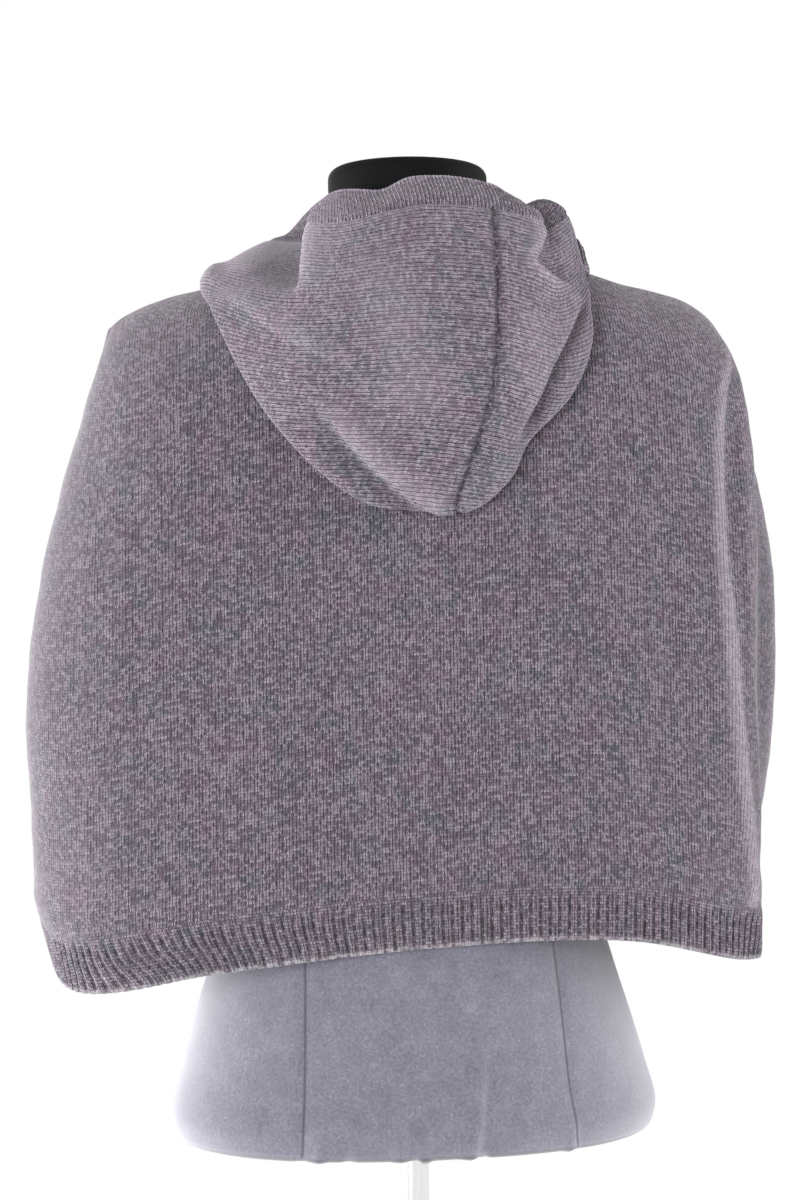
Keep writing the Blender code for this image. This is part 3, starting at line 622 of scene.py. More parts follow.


# soft creases of the upper layer, in x and z: each is a ridge along a line with a painted highlight, with
# cloth that lies deeper beyond it under painted shade ("beyond" +1 is towards the wearer's left of the line)
hoodCreases = {
    "ridges": (
        # line, height, width near, width beyond, beyond, drop, drop from, drop to, strength of the
        # painted shade in the drop, from row place, share of the line over which it fades in and out
        (((0.064, 1.462), (0.077, 1.438), (0.0845, 1.418), (0.0885, 1.396), (0.0930, 1.374)),
         0.0055, 0.0130, 0.0040, 1, -0.0110, 0.005, 0.046, 1.3, 6.9, 0.12, 0.28),
        (((-0.0755, 1.462), (-0.0785, 1.438), (-0.0800, 1.422), (-0.0740, 1.409), (-0.0690, 1.4015),
          (-0.0760, 1.395), (-0.0860, 1.390), (-0.0960, 1.386), (-0.1060, 1.383)),
         0.0042, 0.0065, 0.0045, -1, -0.0055, 0.006, 0.024, 0.2, 6.9, 0.08, 0.30),
        (((-0.112, 1.384), (-0.105, 1.368), (-0.094, 1.347), (-0.082, 1.327), (-0.0725, 1.307),
          (-0.063, 1.290), (-0.052, 1.268)),
         0.0018, 0.0070, 0.0030, -1, -0.0060, 0.0045, 0.017, 1.3, 6.2, 0.20, 0.25),
        (((0.086, 1.308), (0.0727, 1.2924), (0.0595, 1.2750), (0.0440, 1.2585), (0.0270, 1.2445),
          (0.0110, 1.2330), (-0.0080, 1.2250)),
         0.0046, 0.0120, 0.0045, 1, -0.0040, 0.005, 0.022, 1.3, 5.9, 0.35, 0.06),
        (((0.040, 1.420), (0.036, 1.370), (0.020, 1.320), (0.000, 1.280)),
         0.0024, 0.0240, 0.0240, 1, 0.0, 0.01, 0.02, 1.0, 7.0, 0.3, 0.3),
        (((-0.066, 1.372), (-0.068, 1.340), (-0.058, 1.300)),
         0.0022, 0.0130, 0.0130, 1, 0.0, 0.01, 0.02, 1.0, 7.0, 0.3, 0.3),
        (((0.150, 1.392), (0.118, 1.362), (0.086, 1.338), (0.050, 1.322)),
         0.0022, 0.0100, 0.0080, 1, -0.0012, 0.004, 0.020, 1.3, 6.2, 0.2, 0.4),
    ),
    "edgeRises": ((0.031, 0.012, -0.0050), (0.060, 0.011, 0.0020)),
    "edgeReach": 0.045,
    "edgeBehind": 0.02,
    "rowFade": 0.3,
    "tipDrop": (0.0060, 0.105, 0.150, 1.385),
    "tipFade": 0.01,
    "tipRows": (3.6, 4.6),
    "upperRows": (6.6, 7.4),
    "seamDip": 0.0018,
    "seamWidth": 0.0022,
    "seamShadeWidth": 0.0027,
    "besideSeam": (0.0003, 0.0060, 0.0035),    # height, place and width of the swell
    "pickUpDip": 0.0008,
    "pickUpWidth": 0.0022,
    "pickUpShade": 0.35,
    "wobble": 0.9,
    # on the band creases fade towards its edge, and it keeps these shares of the seam, swell and shade
    "bandReach": 0.03,
    "bandShares": (0.25, 0.2, 0.15),
    "bandRib": 0.0005,
    "bandRibEnds": (0.004, 0.002),
    "bandShade": 0.38,
    "bandShadeRange": (-0.2, 0.9),
    "fullPaintedLight": 0.0060,      # height at which a ridge has its full painted highlight
}


def lineDistance(x, z, line):
    # distance to a polyline, its side (+ is towards +x) and how far along it is
    best = np.full(x.shape, 1e9)
    side = np.zeros(x.shape)
    along = np.zeros(x.shape)
    for k, ((ax, az), (bx, bz)) in enumerate(zip(line, line[1:])):
        dx, dz = bx - ax, bz - az
        raw = ((x - ax) * dx + (z - az) * dz) / (dx * dx + dz * dz)
        t = np.clip(raw, 0.0, 1.0)
        distance = np.hypot(x - ax - t * dx, z - az - t * dz)
        turn = -((x - ax) * dz - (z - az) * dx)
        near = distance < best
        best = np.where(near, distance, best)
        side = np.where(near, np.sign(turn), side)
        along = np.where(near, (k + t) / (len(line) - 1), along)
    return best, side, along


def creaseOffset(points, place):
    x, z = points[..., 0], points[..., 2]
    offset = np.zeros(x.shape)
    light = np.zeros(x.shape)
    rowFade = hoodCreases["rowFade"]
    for (line, height, near, far, beyond, drop, dropFrom, dropTo, shade,
         fromPlace, fadeIn, fadeOut) in hoodCreases["ridges"]:
        distance, side, along = lineDistance(x, z, line)
        past = side * beyond > 0
        fade = ease(along, -0.01, fadeIn) * (1.0 - ease(along, 1.0 - fadeOut, 1.01))
        run = fade * ease(place, fromPlace - rowFade, fromPlace + rowFade)
        ridge = height * bell(distance, np.where(past, far, near))
        deep = drop * ease(distance, 0.0, dropFrom) * (1.0 - ease(distance, dropFrom, dropTo))
        offset = offset + (ridge + np.where(past, deep, 0.0)) * run
        # painted highlight along each ridge and painted shade in the drop beyond it
        light = light + (ridge + np.where(past, shade * deep, 0.0)) * run / hoodCreases["fullPaintedLight"]
    return offset, np.clip(light, -1.0, 1.0)


def finerColumns(values, factor):
    columns = values.shape[1]
    at = np.linspace(0, columns - 1, (columns - 1) * factor + 1)
    low = np.minimum(at.astype(int), columns - 2)
    share = (at - low).reshape((1, -1) + (1,) * (values.ndim - 2))
    return values[:, low] * (1.0 - share) + values[:, low + 1] * share


def hoodNormals(grid):
    # they point out of the cloth, which at the centre of the band's seam is backwards
    normals = gridNormals(grid)
    return -normals if normals[hood["rows"], hood["columnsPerHalf"], 1] < 0 else normals


def hoodPieces(tree, knit, rib):
    grid, place, fromEdge = hoodSurface(tree)
    creases = hoodCreases
    height = hood["bandHeight"]
    seamRow = hood["rows"]
    middle = hood["columnsPerHalf"]
    around = runAlong(grid, middle)
    shaped = grid.copy()
    nearEdge = (1.0 - ease(fromEdge, 0.0, creases["edgeReach"])) * (grid[..., 1] > creases["edgeBehind"])
    for x, width, rise in creases["edgeRises"]:
        shaped[..., 2] += rise * nearEdge * bell(grid[..., 0] - x, width)
    drop, dropFrom, dropTo, dropAbove = creases["tipDrop"]
    high = ease(grid[..., 2], dropAbove - creases["tipFade"], dropAbove + creases["tipFade"])
    shaped[..., 2] -= drop * ease(grid[..., 0], dropFrom, dropTo) * high * ease(place, *creases["tipRows"])
    offset, light = creaseOffset(grid, place)
    band = fromEdge < height - 1e-5
    pick = bell(fromEdge - height, creases["pickUpWidth"])
    besideHeight, besidePlace, besideWidth = creases["besideSeam"]
    beside = bell(np.abs(around) - besidePlace, besideWidth)
    seamKept, besideKept, shadeKept = (np.where(band, share, 1.0) for share in creases["bandShares"])
    offset = offset * np.where(band, ease(fromEdge, 0.0, creases["bandReach"]), 1.0)
    offset = offset - creases["seamDip"] * bell(around, creases["seamWidth"]) * seamKept
    offset = offset + besideHeight * beside * besideKept
    wobble = creases["wobble"] * wobbleOf(grid * (1, 1, 1.2)) * ease(place, *creases["upperRows"])
    offset = offset - creases["pickUpDip"] * pick + wobble
    shaped = shaped + hoodNormals(grid) * offset[..., None]
    normals = hoodNormals(shaped)
    inner = shaped - body["wall"] * normals
    uv = np.stack([fromEdge, around], axis=-1)
    seamLine = bell(around, creases["seamShadeWidth"])
    shade = np.maximum(seamLine * shadeKept, creases["pickUpShade"] * pick)
    pieces = []
    for name, columns in (("hoodRight", slice(0, middle + 1)), ("hoodLeft", slice(middle, None))):
        part = (slice(0, seamRow + 1), columns)
        outer, wrongSide, coords, shaded, lit = (values[part] for values in (shaped, inner, uv, shade, light))
        pieces.append(clothPiece(name, outer, wrongSide, coords, knit, shaded, lit))
    # the band has finer columns, so that its narrow ribs stand in the mesh
    outer, normals, shade, light, around, fromEdge = (
        finerColumns(values[seamRow:], hood["bandFiner"])
        for values in (shaped, normals, shade, light, around, fromEdge))
    normals = unit(normals)
    wave = np.cos(2 * math.pi * around / hood["bandWale"])
    atEdge, atSeam = creases["bandRibEnds"]
    grow = ease(fromEdge, 0.0, atEdge) * (1.0 - ease(fromEdge, height - atSeam, height))
    outer = outer + normals * (creases["bandRib"] * wave * grow)[..., None]
    shade = np.maximum(shade, creases["bandShade"] * ease(-wave, *creases["bandShadeRange"]) * grow)
    uv = np.stack([around, height - fromEdge], axis=-1)
    inner = outer - body["wall"] * normals
    pieces.append(clothPiece("hoodBand", outer, inner, uv, rib, shade, light, lip=body["lip"]))
    return pieces


# ---- materials: what several finishes share is in node groups

knitLook = {
    "wale": 0.0024,           # one column of stitches
    "hoodWale": 0.0029,
    "ribWale": 0.00233,       # three to a rib
    "course": 0.0022,         # one row of stitches
    "slant": 0.9,
    "wander": 0.0013,         # how far stitches stray from straight lines
    "mauve": (0.262, 0.204, 0.264),
    "blueGrey": (0.166, 0.200, 0.240),
    "rose": (0.306, 0.196, 0.276),
    "pale": (0.620, 0.530, 0.630),
    "dark": (0.020, 0.014, 0.022),
    # colours of the painted sheen and of lint, for the body and for the hood
    "nap": (0.680, 0.650, 0.680),
    "hoodSheenAndLint": (0.760, 0.620, 0.740),
    "streaks": (950.0, 340.0, 1.0),       # how many shades of yarn there are in a metre
    "roughness": 0.95,
    "specular": 0.15,
    "strayScale": 190.0,
    "outerLeg": (0.55, 0.45),             # how much more steeply a leg falls outwards, and inwards
    "legEnds": 2.2,
    "legRound": 0.7,
    "hollow": (0.32, 0.95, 0.95, 0.0),
    "furrow": (0.22, 0.38),
    "breaks": (0.40, 0.58, 0.10),
    "breakScale": (190.0, 70.0, 1.0),
    "blueScale": 42.0,
    "blueRange": (0.50, 0.64),
    "roseScale": 48.0,
    "roseRange": (0.48, 0.66),
    "paleRange": (0.46, 0.74),
    "darkRange": (0.54, 0.26),
    "beadScale": 340.0,
    "beadRange": (0.42, 0.54, 0.25),
    "lintScale": 260.0,
    "lintRange": (0.35, 0.60),
    "paintedSheenPower": 5.0,
    "roseShift": (3.1, 1.7, 5.3),
    "napScales": ((1500.0, 0.8), (380.0, 1.2)),       # fine and broad, with their shares
    "stitchShare": 0.27,      # how much of a stitch's shade is its own
    "blueAmount": 0.62,
    "roseAmount": 0.48,
    "paleAmount": 1.00,
    "darkAmount": 0.58,
    "gapShadeAmount": 0.95,
    "seamAmount": 1.0,
    "paintedSheenAmount": 0.40,
    "lintAmount": 0.5,
    "ridgeHighlightAmount": 0.36,      # strength of the painted highlight along a fold
    # strength of the painted shade in the hollow of a fold
    "recessShadeAmount": 0.40,
    # the hood and its band are painted lighter than the body, as painted light that falls on them
    "bodyTone": 0.72,
    "hoodPaintedLightTone": 0.83,
    "bandPaintedLightTone": 1.18,
    "ribTone": 0.83,
    "bump": 0.0009,
    "bandBump": 0.0012,
    "napBump": 0.0005,
    "sheen": 0.5,
    "sheenRoughness": 0.40,
    "sheenTint": (0.95, 0.92, 0.97, 1.0),
}

formLook = {
    "jersey": (0.158, 0.154, 0.194),
    "pale": (0.300, 0.296, 0.350),
    "dark": (0.062, 0.060, 0.078),
    # colour of the painted sheen
    "nap": (0.620, 0.615, 0.680),
    "paintedSheenAmount": 0.75,
    "seamShade": 0.75,
    "seamHalfWidth": 0.0008,
    "seamGroove": 3.0,
    "fleckScale": 520.0,
    "fleckAmount": 0.6,
    "paleRange": (0.50, 0.70),
    "darkRange": (0.48, 0.30),
    "cloudScale": 60.0,
    "cloudShare": 0.25,
    "spotScale": 95.0,
    "spotRange": (0.06, 0.10, 0.45, 0.0),
    "paintedSheenPower": 1.6,
    "roughness": 0.9,
    "specular": 0.2,
    "sheen": 0.5,
    "sheenRoughness": 0.5,
    "bumpStrength": 0.7,
    "bump": 0.0003,
    "lipTop": 0.7745,
    "lipFade": 0.003,
    "lipShade": 0.92,
}

standLook = {
    "capGrain": 900.0,
    "capColours": ((0.003, 0.003, 0.0035), (0.008, 0.008, 0.009)),
    "capRoughness": (0.55, 0.80),
    "capSpecular": 0.06,
    # tint, range of roughness, how the polishing lines are stretched
    "chrome": ((0.86, 0.86, 0.87), (0.06, 0.16), (900.0, 900.0, 12.0)),
    "steel": ((0.52, 0.52, 0.54), (0.24, 0.40), (14.0, 900.0, 900.0)),
    "lineShade": 0.88,
}


class nodeBench:
    # adds nodes to one tree: a value is set on its socket, and a given socket is joined to it
    def __init__(self, tree):
        self.tree = tree

    def feed(self, sockets, values):
        for key, value in values.items():
            if isinstance(value, bpy.types.NodeSocket):
                self.tree.links.new(value, sockets[key])
            elif sockets[key].type == "RGBA":
                sockets[key].default_value = (*value[:3], 1.0)
            else:
                sockets[key].default_value = value

    def put(self, kind, values=None, **settings):
        node = self.tree.nodes.new("ShaderNode" + kind)
        for key, value in settings.items():
            setattr(node, key, value)
        self.feed(node.inputs, values or {})
        return node.outputs

    def compute(self, operation, *values):
        return self.put("Math", dict(enumerate(values)), operation=operation)[0]

    def times(self, first, second):
        return self.compute("MULTIPLY", first, second)

    def move(self, operation, vector, value):
        second = "Scale" if operation == "SCALE" else 1
        return self.put("VectorMath", {0: vector, second: value}, operation=operation)[0]

    def mix(self, factor, first, second):
        return self.put("Mix", {0: factor, 6: first, 7: second}, data_type="RGBA")[2]

    def noise(self, place, scale, detail=2.0, roughness=0.5, distortion=0.0, output=0):
        values = {"Vector": place, "Scale": scale, "Detail": detail, "Roughness": roughness,
                  "Distortion": distortion}
        return self.put("TexNoise", values)[output]

    def ramp(self, value, low, high, start=0.0, end=1.0, kind="LINEAR"):
        values = {"Value": value, "From Min": low, "From Max": high, "To Min": start, "To Max": end}
        return self.put("MapRange", values, interpolation_type=kind)[0]

    def smooth(self, value, low, high, start=0.0, end=1.0):
        return self.ramp(value, low, high, start, end, "SMOOTHSTEP")

    def stretch(self, place, scale):
        return self.put("Mapping", {"Vector": place, "Scale": scale})[0]

    def attribute(self, name):
        return self.put("Attribute", attribute_name=name, attribute_type="GEOMETRY")["Fac"]

    def group(self, name, values):
        return self.put("Group", values, node_tree=groups[name])

    def bump(self, height, distance, strength=1.0, **more):
        return self.put("Bump", {"Height": height, "Distance": distance, "Strength": strength, **more})[0]

    def turnedAway(self, power):
        # near 1 where the surface turns away, a mask for painted sheen in the base colour
        return self.compute("POWER", self.put("LayerWeight", {"Blend": 0.5})["Facing"], power)


def newGroup(name, vectors, floats, outputs, kind="NodeSocketFloat"):
    group = bpy.data.node_groups.new(name, "ShaderNodeTree")
    for labels, way, socketKind in ((vectors, "INPUT", "NodeSocketVector"),
                                    (floats, "INPUT", "NodeSocketFloat"), (outputs, "OUTPUT", kind)):
        for label in labels:
            group.interface.new_socket(name=label, in_out=way, socket_type=socketKind)
    given = group.nodes.new("NodeGroupInput").outputs
    return group, nodeBench(group), given, group.nodes.new("NodeGroupOutput").inputs


def stitchGroup():
    # plain knit: every stitch is a pair of slanting legs, in columns with a deep gap between
    group, bench, given, result = newGroup(
        "knitStitches", ("Place",), ("Wale", "Course", "Slant", "Wander", "Furrow", "Dip"),
        ("Height", "Gap", "Stitch"))
    compute, times = bench.compute, bench.times
    place, wale, course, slant, wander, shallow, dip = given[:7]

    def rest(value):
        return compute("SUBTRACT", 1.0, value)

    stray = bench.noise(place, knitLook["strayScale"], roughness=0.6, output=1)
    stray = bench.move("SCALE", bench.move("SUBTRACT", stray, (0.5, 0.5, 0.5)), wander)
    axes = bench.put("SeparateXYZ", {0: bench.move("ADD", place, stray)})
    column = compute("DIVIDE", axes[0], wale)
    cell = compute("FLOOR", column)
    across = compute("SUBTRACT", compute("SUBTRACT", column, cell), 0.5)
    side = compute("ABSOLUTE", across)
    rise = compute("SUBTRACT", compute("DIVIDE", axes[1], course), times(side, slant))
    row = compute("FLOOR", rise)
    along = compute("SUBTRACT", times(compute("SUBTRACT", rise, row), 2.0), 1.0)
    offCentre = times(compute("SUBTRACT", side, 0.25), 4.0)
    outer = compute("MULTIPLY_ADD", compute("GREATER_THAN", side, 0.25), *knitLook["outerLeg"])
    legAcross = rest(times(compute("POWER", compute("ABSOLUTE", offCentre), 2.0), outer))
    legAlong = rest(compute("POWER", compute("ABSOLUTE", along), knitLook["legEnds"]))
    lift = rest(times(dip, rest(legAlong)))            # how far a leg sinks at its two ends
    height = times(compute("POWER", compute("MAXIMUM", legAcross, 0.0), knitLook["legRound"]), lift)
    hollow = bench.smooth(height, *knitLook["hollow"])
    line = bench.smooth(side, *knitLook["furrow"])
    breaks = bench.noise(bench.stretch(place, knitLook["breakScale"]), 1.0)
    breaks = bench.ramp(breaks, *knitLook["breaks"])
    # each furrow between two wales has its own strength of painted shade
    furrowOf = bench.put("TexWhiteNoise", {"W": compute("ROUND", column)}, noise_dimensions="1D")["Value"]
    depth = compute("MULTIPLY_ADD", times(breaks, furrowOf), rest(shallow), shallow)
    gap = compute("MAXIMUM", hollow, times(line, depth))
    leg = compute("MULTIPLY_ADD", cell, 2.0, compute("SIGN", across))
    key = bench.put("CombineXYZ", {0: leg, 1: row})[0]
    chance = bench.put("TexWhiteNoise", {"Vector": key}, noise_dimensions="3D")["Value"]
    bench.feed(result, {"Height": height, "Gap": gap, "Stitch": chance})
    return group


def melangeGroup():
    # yarn spun from many shades: patches that run across seams, streaks along the yarn, specks
    look = knitLook
    group, bench, given, result = newGroup(
        "melangeYarn", ("Place", "Yarn"), ("Stitch", "Gap", "Flecks", "Tone"),
        ("Color",), "NodeSocketColor")
    compute, times, mix = bench.compute, bench.times, bench.mix
    place, yarn, stitch, gap, flecks, tone = given[:6]
    blue = bench.smooth(bench.noise(place, look["blueScale"], distortion=0.3), *look["blueRange"])
    shifted = bench.put("Mapping", {"Vector": place, "Location": look["roseShift"]})[0]
    rose = bench.smooth(bench.noise(shifted, look["roseScale"]), *look["roseRange"])
    colour = mix(times(rose, look["roseAmount"]), look["mauve"], look["rose"])
    colour = mix(times(blue, look["blueAmount"]), colour, look["blueGrey"])
    streak = bench.noise(bench.stretch(yarn, look["streaks"]), 1.0, 3.0, 0.7)
    share = look["stitchShare"]
    shadeOf = compute("MULTIPLY_ADD", stitch, share, times(streak, 1.0 - share))
    for shade in ("pale", "dark"):
        flecked = times(bench.ramp(shadeOf, *look[shade + "Range"]), times(flecks, look[shade + "Amount"]))
        colour = mix(flecked, colour, look[shade])
    # painted shade in the gaps between legs and the furrows between wales
    colour = mix(times(gap, look["gapShadeAmount"]), colour, look["dark"])
    bench.feed(result, {"Color": bench.move("SCALE", colour, tone)})
    return group


def fuzzGroup():
    # the nap: short fibres that stand off the surface in all directions
    group, bench, given, result = newGroup("woolNap", ("Place",), (), ("Height",))
    (fineScale, fineShare), (broadScale, broadShare) = knitLook["napScales"]
    fine, broad = (bench.noise(given["Place"], scale, roughness=0.6) for scale in (fineScale, broadScale))
    total = bench.compute("MULTIPLY_ADD", broad, broadShare, bench.times(fine, fineShare))
    bench.feed(result, {"Height": total})
    return group


groups = {"stitches": stitchGroup(), "melange": melangeGroup(), "nap": fuzzGroup()}


def newMaterial(name):
    material = bpy.data.materials.new(name)
    material.use_nodes = True
    tree = material.node_tree
    return material, nodeBench(tree), tree.nodes["Principled BSDF"].inputs


def objectPlace(bench):
    return bench.put("TexCoord")["Object"]


def knitMaterial(name, wale, depth, furrow, dip, flecks, tone, sheenAndLintColour):
    look = knitLook
    material, bench, shader = newMaterial(name)
    compute, times, mix = bench.compute, bench.times, bench.mix
    place = objectPlace(bench)
    yarn = bench.put("UVMap", uv_map="knit")[0]
    stitches = bench.group("stitches", {"Place": yarn, "Wale": wale, "Course": look["course"],
                                        "Slant": look["slant"], "Wander": look["wander"],
                                        "Furrow": furrow, "Dip": dip})
    melange = bench.group("melange", {"Place": place, "Yarn": yarn, "Stitch": stitches["Stitch"],
                                      "Gap": stitches["Gap"], "Flecks": flecks, "Tone": tone})
    # seams lie in shade, broken into beads
    bead = bench.ramp(bench.noise(place, look["beadScale"], 1.0), *look["beadRange"])
    sewn = times(times(bench.attribute("seamShade"), bead), look["seamAmount"])
    colour = mix(sewn, melange["Color"], look["dark"])
    # painted highlight along the ridges of folds and painted shade in their hollows
    fold = bench.attribute("paintedFoldLight")
    colour = mix(times(compute("MAXIMUM", fold, 0.0), look["ridgeHighlightAmount"]), colour, look["pale"])
    colour = mix(times(compute("MINIMUM", fold, 0.0), -look["recessShadeAmount"]), colour, look["dark"])
    # painted sheen: the colour is paler where the cloth turns away; and lint along its free edges
    edge = times(bench.turnedAway(look["paintedSheenPower"]), look["paintedSheenAmount"])
    loose = bench.ramp(bench.noise(place, look["lintScale"]), *look["lintRange"])
    lint = times(times(bench.attribute("edgeNap"), loose), look["lintAmount"])
    colour = mix(compute("MAXIMUM", edge, lint), colour, sheenAndLintColour)
    relief = bench.bump(stitches["Height"], depth)
    nap = bench.group("nap", {"Place": place})["Height"]
    bench.feed(shader, {"Base Color": colour, "Normal": bench.bump(nap, look["napBump"], Normal=relief),
                        "Roughness": look["roughness"], "Specular IOR Level": look["specular"],
                        "Sheen Weight": look["sheen"], "Sheen Roughness": look["sheenRoughness"],
                        "Sheen Tint": look["sheenTint"]})
    return material


def jerseyMaterial():
    look = formLook
    material, bench, shader = newMaterial("heatherJersey")
    compute, times, mix = bench.compute, bench.times, bench.mix
    place = objectPlace(bench)
    flecks = bench.noise(place, look["fleckScale"], 3.0, 0.7)
    share = look["cloudShare"]
    clouds = bench.noise(place, look["cloudScale"])
    tone = compute("MULTIPLY_ADD", clouds, share, times(flecks, 1.0 - share))
    colour = look["jersey"]
    for shade in ("pale", "dark"):
        flecked = times(bench.ramp(tone, *look[shade + "Range"]), look["fleckAmount"])
        colour = mix(flecked, colour, look[shade])
    spots = bench.put("TexVoronoi", {"Vector": place, "Scale": look["spotScale"]})["Distance"]
    colour = mix(bench.ramp(spots, *look["spotRange"]), colour, look["pale"])
    # painted sheen: paler where the jersey turns away
    colour = mix(times(bench.turnedAway(look["paintedSheenPower"]), look["paintedSheenAmount"]), colour, look["nap"])
    # dark lines along the sewn seams, and painted shade along the bottom edge of the rim
    aside = compute("ABSOLUTE", bench.attribute("seamAside"))
    line = bench.smooth(aside, 0.0, look["seamHalfWidth"] * 2, 1.0, 0.0)
    height = bench.put("SeparateXYZ", {0: place})[2]
    lip = bench.ramp(height, look["lipTop"] - look["lipFade"], look["lipTop"], 1.0, 0.0)
    shade = compute("MAXIMUM", times(line, look["seamShade"]), times(lip, look["lipShade"]))
    colour = mix(shade, colour, look["dark"])
    groove = compute("MULTIPLY_ADD", line, -look["seamGroove"], flecks)
    bench.feed(shader, {"Base Color": colour, "Roughness": look["roughness"],
                        "Normal": bench.bump(groove, look["bump"], look["bumpStrength"]),
                        "Specular IOR Level": look["specular"], "Sheen Weight": look["sheen"],
                        "Sheen Roughness": look["sheenRoughness"]})
    return material


def capMaterial():
    look = standLook
    material, bench, shader = newMaterial("mattBlackCap")
    grain = bench.noise(objectPlace(bench), look["capGrain"], 3.0)
    bench.feed(shader, {"Base Color": bench.mix(grain, *look["capColours"]),
                        "Roughness": bench.ramp(grain, 0.0, 1.0, *look["capRoughness"]),
                        "Normal": bench.bump(grain, 0.0001, 0.5),
                        "Specular IOR Level": look["capSpecular"]})
    return material


def metalMaterial(name, tint, roughness, stretch):
    # metal with fine lines left by its polishing
    material, bench, shader = newMaterial(name)
    lines = bench.noise(bench.stretch(objectPlace(bench), stretch), 1.0, 4.0, 0.6)
    darker = tuple(standLook["lineShade"] * value for value in tint)
    bench.feed(shader, {"Base Color": bench.mix(lines, darker, tint), "Metallic": 1.0,
                        "Roughness": bench.ramp(lines, 0.3, 0.7, *roughness),
                        "Normal": bench.bump(lines, 0.00005, 0.2)})
    return material


# the hood and band copies carry painted light in their lighter tones
knit, hoodKnit, ribKnit, bandKnit = (
    knitMaterial(name, wale, knitLook[depth], furrow, dip, flecks, knitLook[tone], knitLook[nap])
    for name, wale, depth, furrow, dip, flecks, tone, nap in (
        ("melangeKnit", knitLook["wale"], "bump", 0.45, 0.36, 1.0, "bodyTone", "nap"),
        ("melangeHoodKnit", knitLook["hoodWale"], "bump", 0.55, 0.22, 0.80, "hoodPaintedLightTone", "hoodSheenAndLint"),
        ("melangeRib", knitLook["ribWale"], "bump", 0.30, 0.55, 0.9, "ribTone", "nap"),
        ("melangeBandRib", hood["bandWale"], "bandBump", 0.70, 0.45, 0.9, "bandPaintedLightTone", "hoodSheenAndLint")))
jersey = jerseyMaterial()
capBlack = capMaterial()
chrome = metalMaterial("brightChrome", *standLook["chrome"])
steel = metalMaterial("satinSteel", *standLook["steel"])
print("materials ready")

backPanel, backPlain = bodyPanel("back", knit)
frontPanel, frontPlain = bodyPanel("front", knit)
backRib = hemRib("back", ribKnit)
frontRib = hemRib("front", ribKnit)
print("body ready")
hoodRight, hoodLeft, hoodBand = hoodPieces(bodyTree([backPlain, frontPlain]), hoodKnit, bandKnit)
print("hood ready")


# ---- the dress form: its padding under stretched jersey, with the seams and small
# creases that the jersey has near its lower rim

form = {
    "subdivide": 3,
    "capSubdivide": 2,
    "shift": 0.0035,
    # distance of each seam from the middle at this height, and what it gains per metre down
    "seamLeft": (0.0883, 0.018),
    "seamRight": (0.0925, 0.085),
    "seamFrom": 0.9,
    "seamDip": 0.0008,
    "seamWidth": 0.0040,
    "creaseFade": 0.006,
    "lowEdge": (0.0050, 0.018, 0.024, 0.0050, 0.008),
    # x and z at the low end, x and z at the high end, height, width
    "creases": (
        ((0.0830, 0.768), (0.0790, 0.822), 0.0020, 0.0050),
        ((0.0620, 0.768), (0.0730, 0.816), -0.0018, 0.0036),
        ((0.0270, 0.770), (0.0310, 0.825), 0.0026, 0.0050),
        ((0.0130, 0.764), (0.0230, 0.822), -0.0018, 0.0034),
        ((0.0090, 0.762), (0.0150, 0.804), 0.0028, 0.0040),
        ((-0.0300, 0.762), (-0.0410, 0.860), -0.0026, 0.0038),
        ((-0.0230, 0.768), (-0.0330, 0.850), 0.0020, 0.0060),
        ((-0.0960, 0.764), (-0.0980, 0.810), 0.0014, 0.0044),
    ),
}


def smoothCopy(node, name, levels, material):
    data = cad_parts[node].data.copy()
    data.materials.clear()
    data.materials.append(material)
    piece = newObject(name, data)
    bpy.ops.object.select_all(action="DESELECT")
    bpy.context.view_layer.objects.active = piece
    piece.select_set(True)
    bpy.ops.object.mode_set(mode="EDIT")
    bpy.ops.mesh.select_all(action="SELECT")
    bpy.ops.mesh.remove_doubles(threshold=0.00001)
    bpy.ops.mesh.tris_convert_to_quads()
    bpy.ops.object.mode_set(mode="OBJECT")
    smooth = piece.modifiers.new("smoothShape", "SUBSURF")
    smooth.levels = smooth.render_levels = levels
    bpy.ops.object.modifier_apply(modifier=smooth.name)
    piece.data.shade_smooth()
    return piece


def readVectors(vertices, name, kind):
    values = np.empty(len(vertices) * 3, dtype=kind)
    vertices.foreach_get(name, values)
    return values.reshape(-1, 3)


def formTorso(material):
    piece = smoothCopy("form_torso", "formTorso", form["subdivide"], material)
    mesh = piece.data
    points = readVectors(mesh.vertices, "co", np.float64)
    normals = readVectors(mesh.vertices, "normal", np.float32)
    x, y, z = points.T
    middle = x - form["shift"]
    lines = (form["seamLeft"], form["seamRight"])
    away = (start + gain * (form["seamFrom"] - z) for start, gain in lines)
    aside = np.abs(middle) - np.where(middle > 0, *away)
    offset = -form["seamDip"] * bell(aside, form["seamWidth"])
    for (lowX, lowZ), (highX, highZ), height, width in form["creases"]:
        t = np.clip((z - lowZ) / (highZ - lowZ), 0.0, 1.0)
        line = lowX + (highX - lowX) * t
        run = ease(z, lowZ - form["creaseFade"], lowZ + form["creaseFade"]) * (1.0 - ease(t, 0.45, 1.0))
        offset = offset + (y > 0) * height * run * bell(x - line, width)
    points = points + normals * offset[:, None]
    # the padding ends in a firm edge
    up = z - z.min()
    fuller, fullUp, fullWidth, edgeFuller, edgeWidth = form["lowEdge"]
    outwards = fuller * bell(up - fullUp, fullWidth) + edgeFuller * bell(up, edgeWidth)
    level = np.hypot(normals[:, 0], normals[:, 1])
    points[:, :2] += normals[:, :2] * (outwards * np.sqrt(level) / np.maximum(level, 1e-6))[:, None]
    mesh.vertices.foreach_set("co", points.ravel())
    writeAttribute(mesh, "seamAside", aside)
    mesh.update()
    return piece


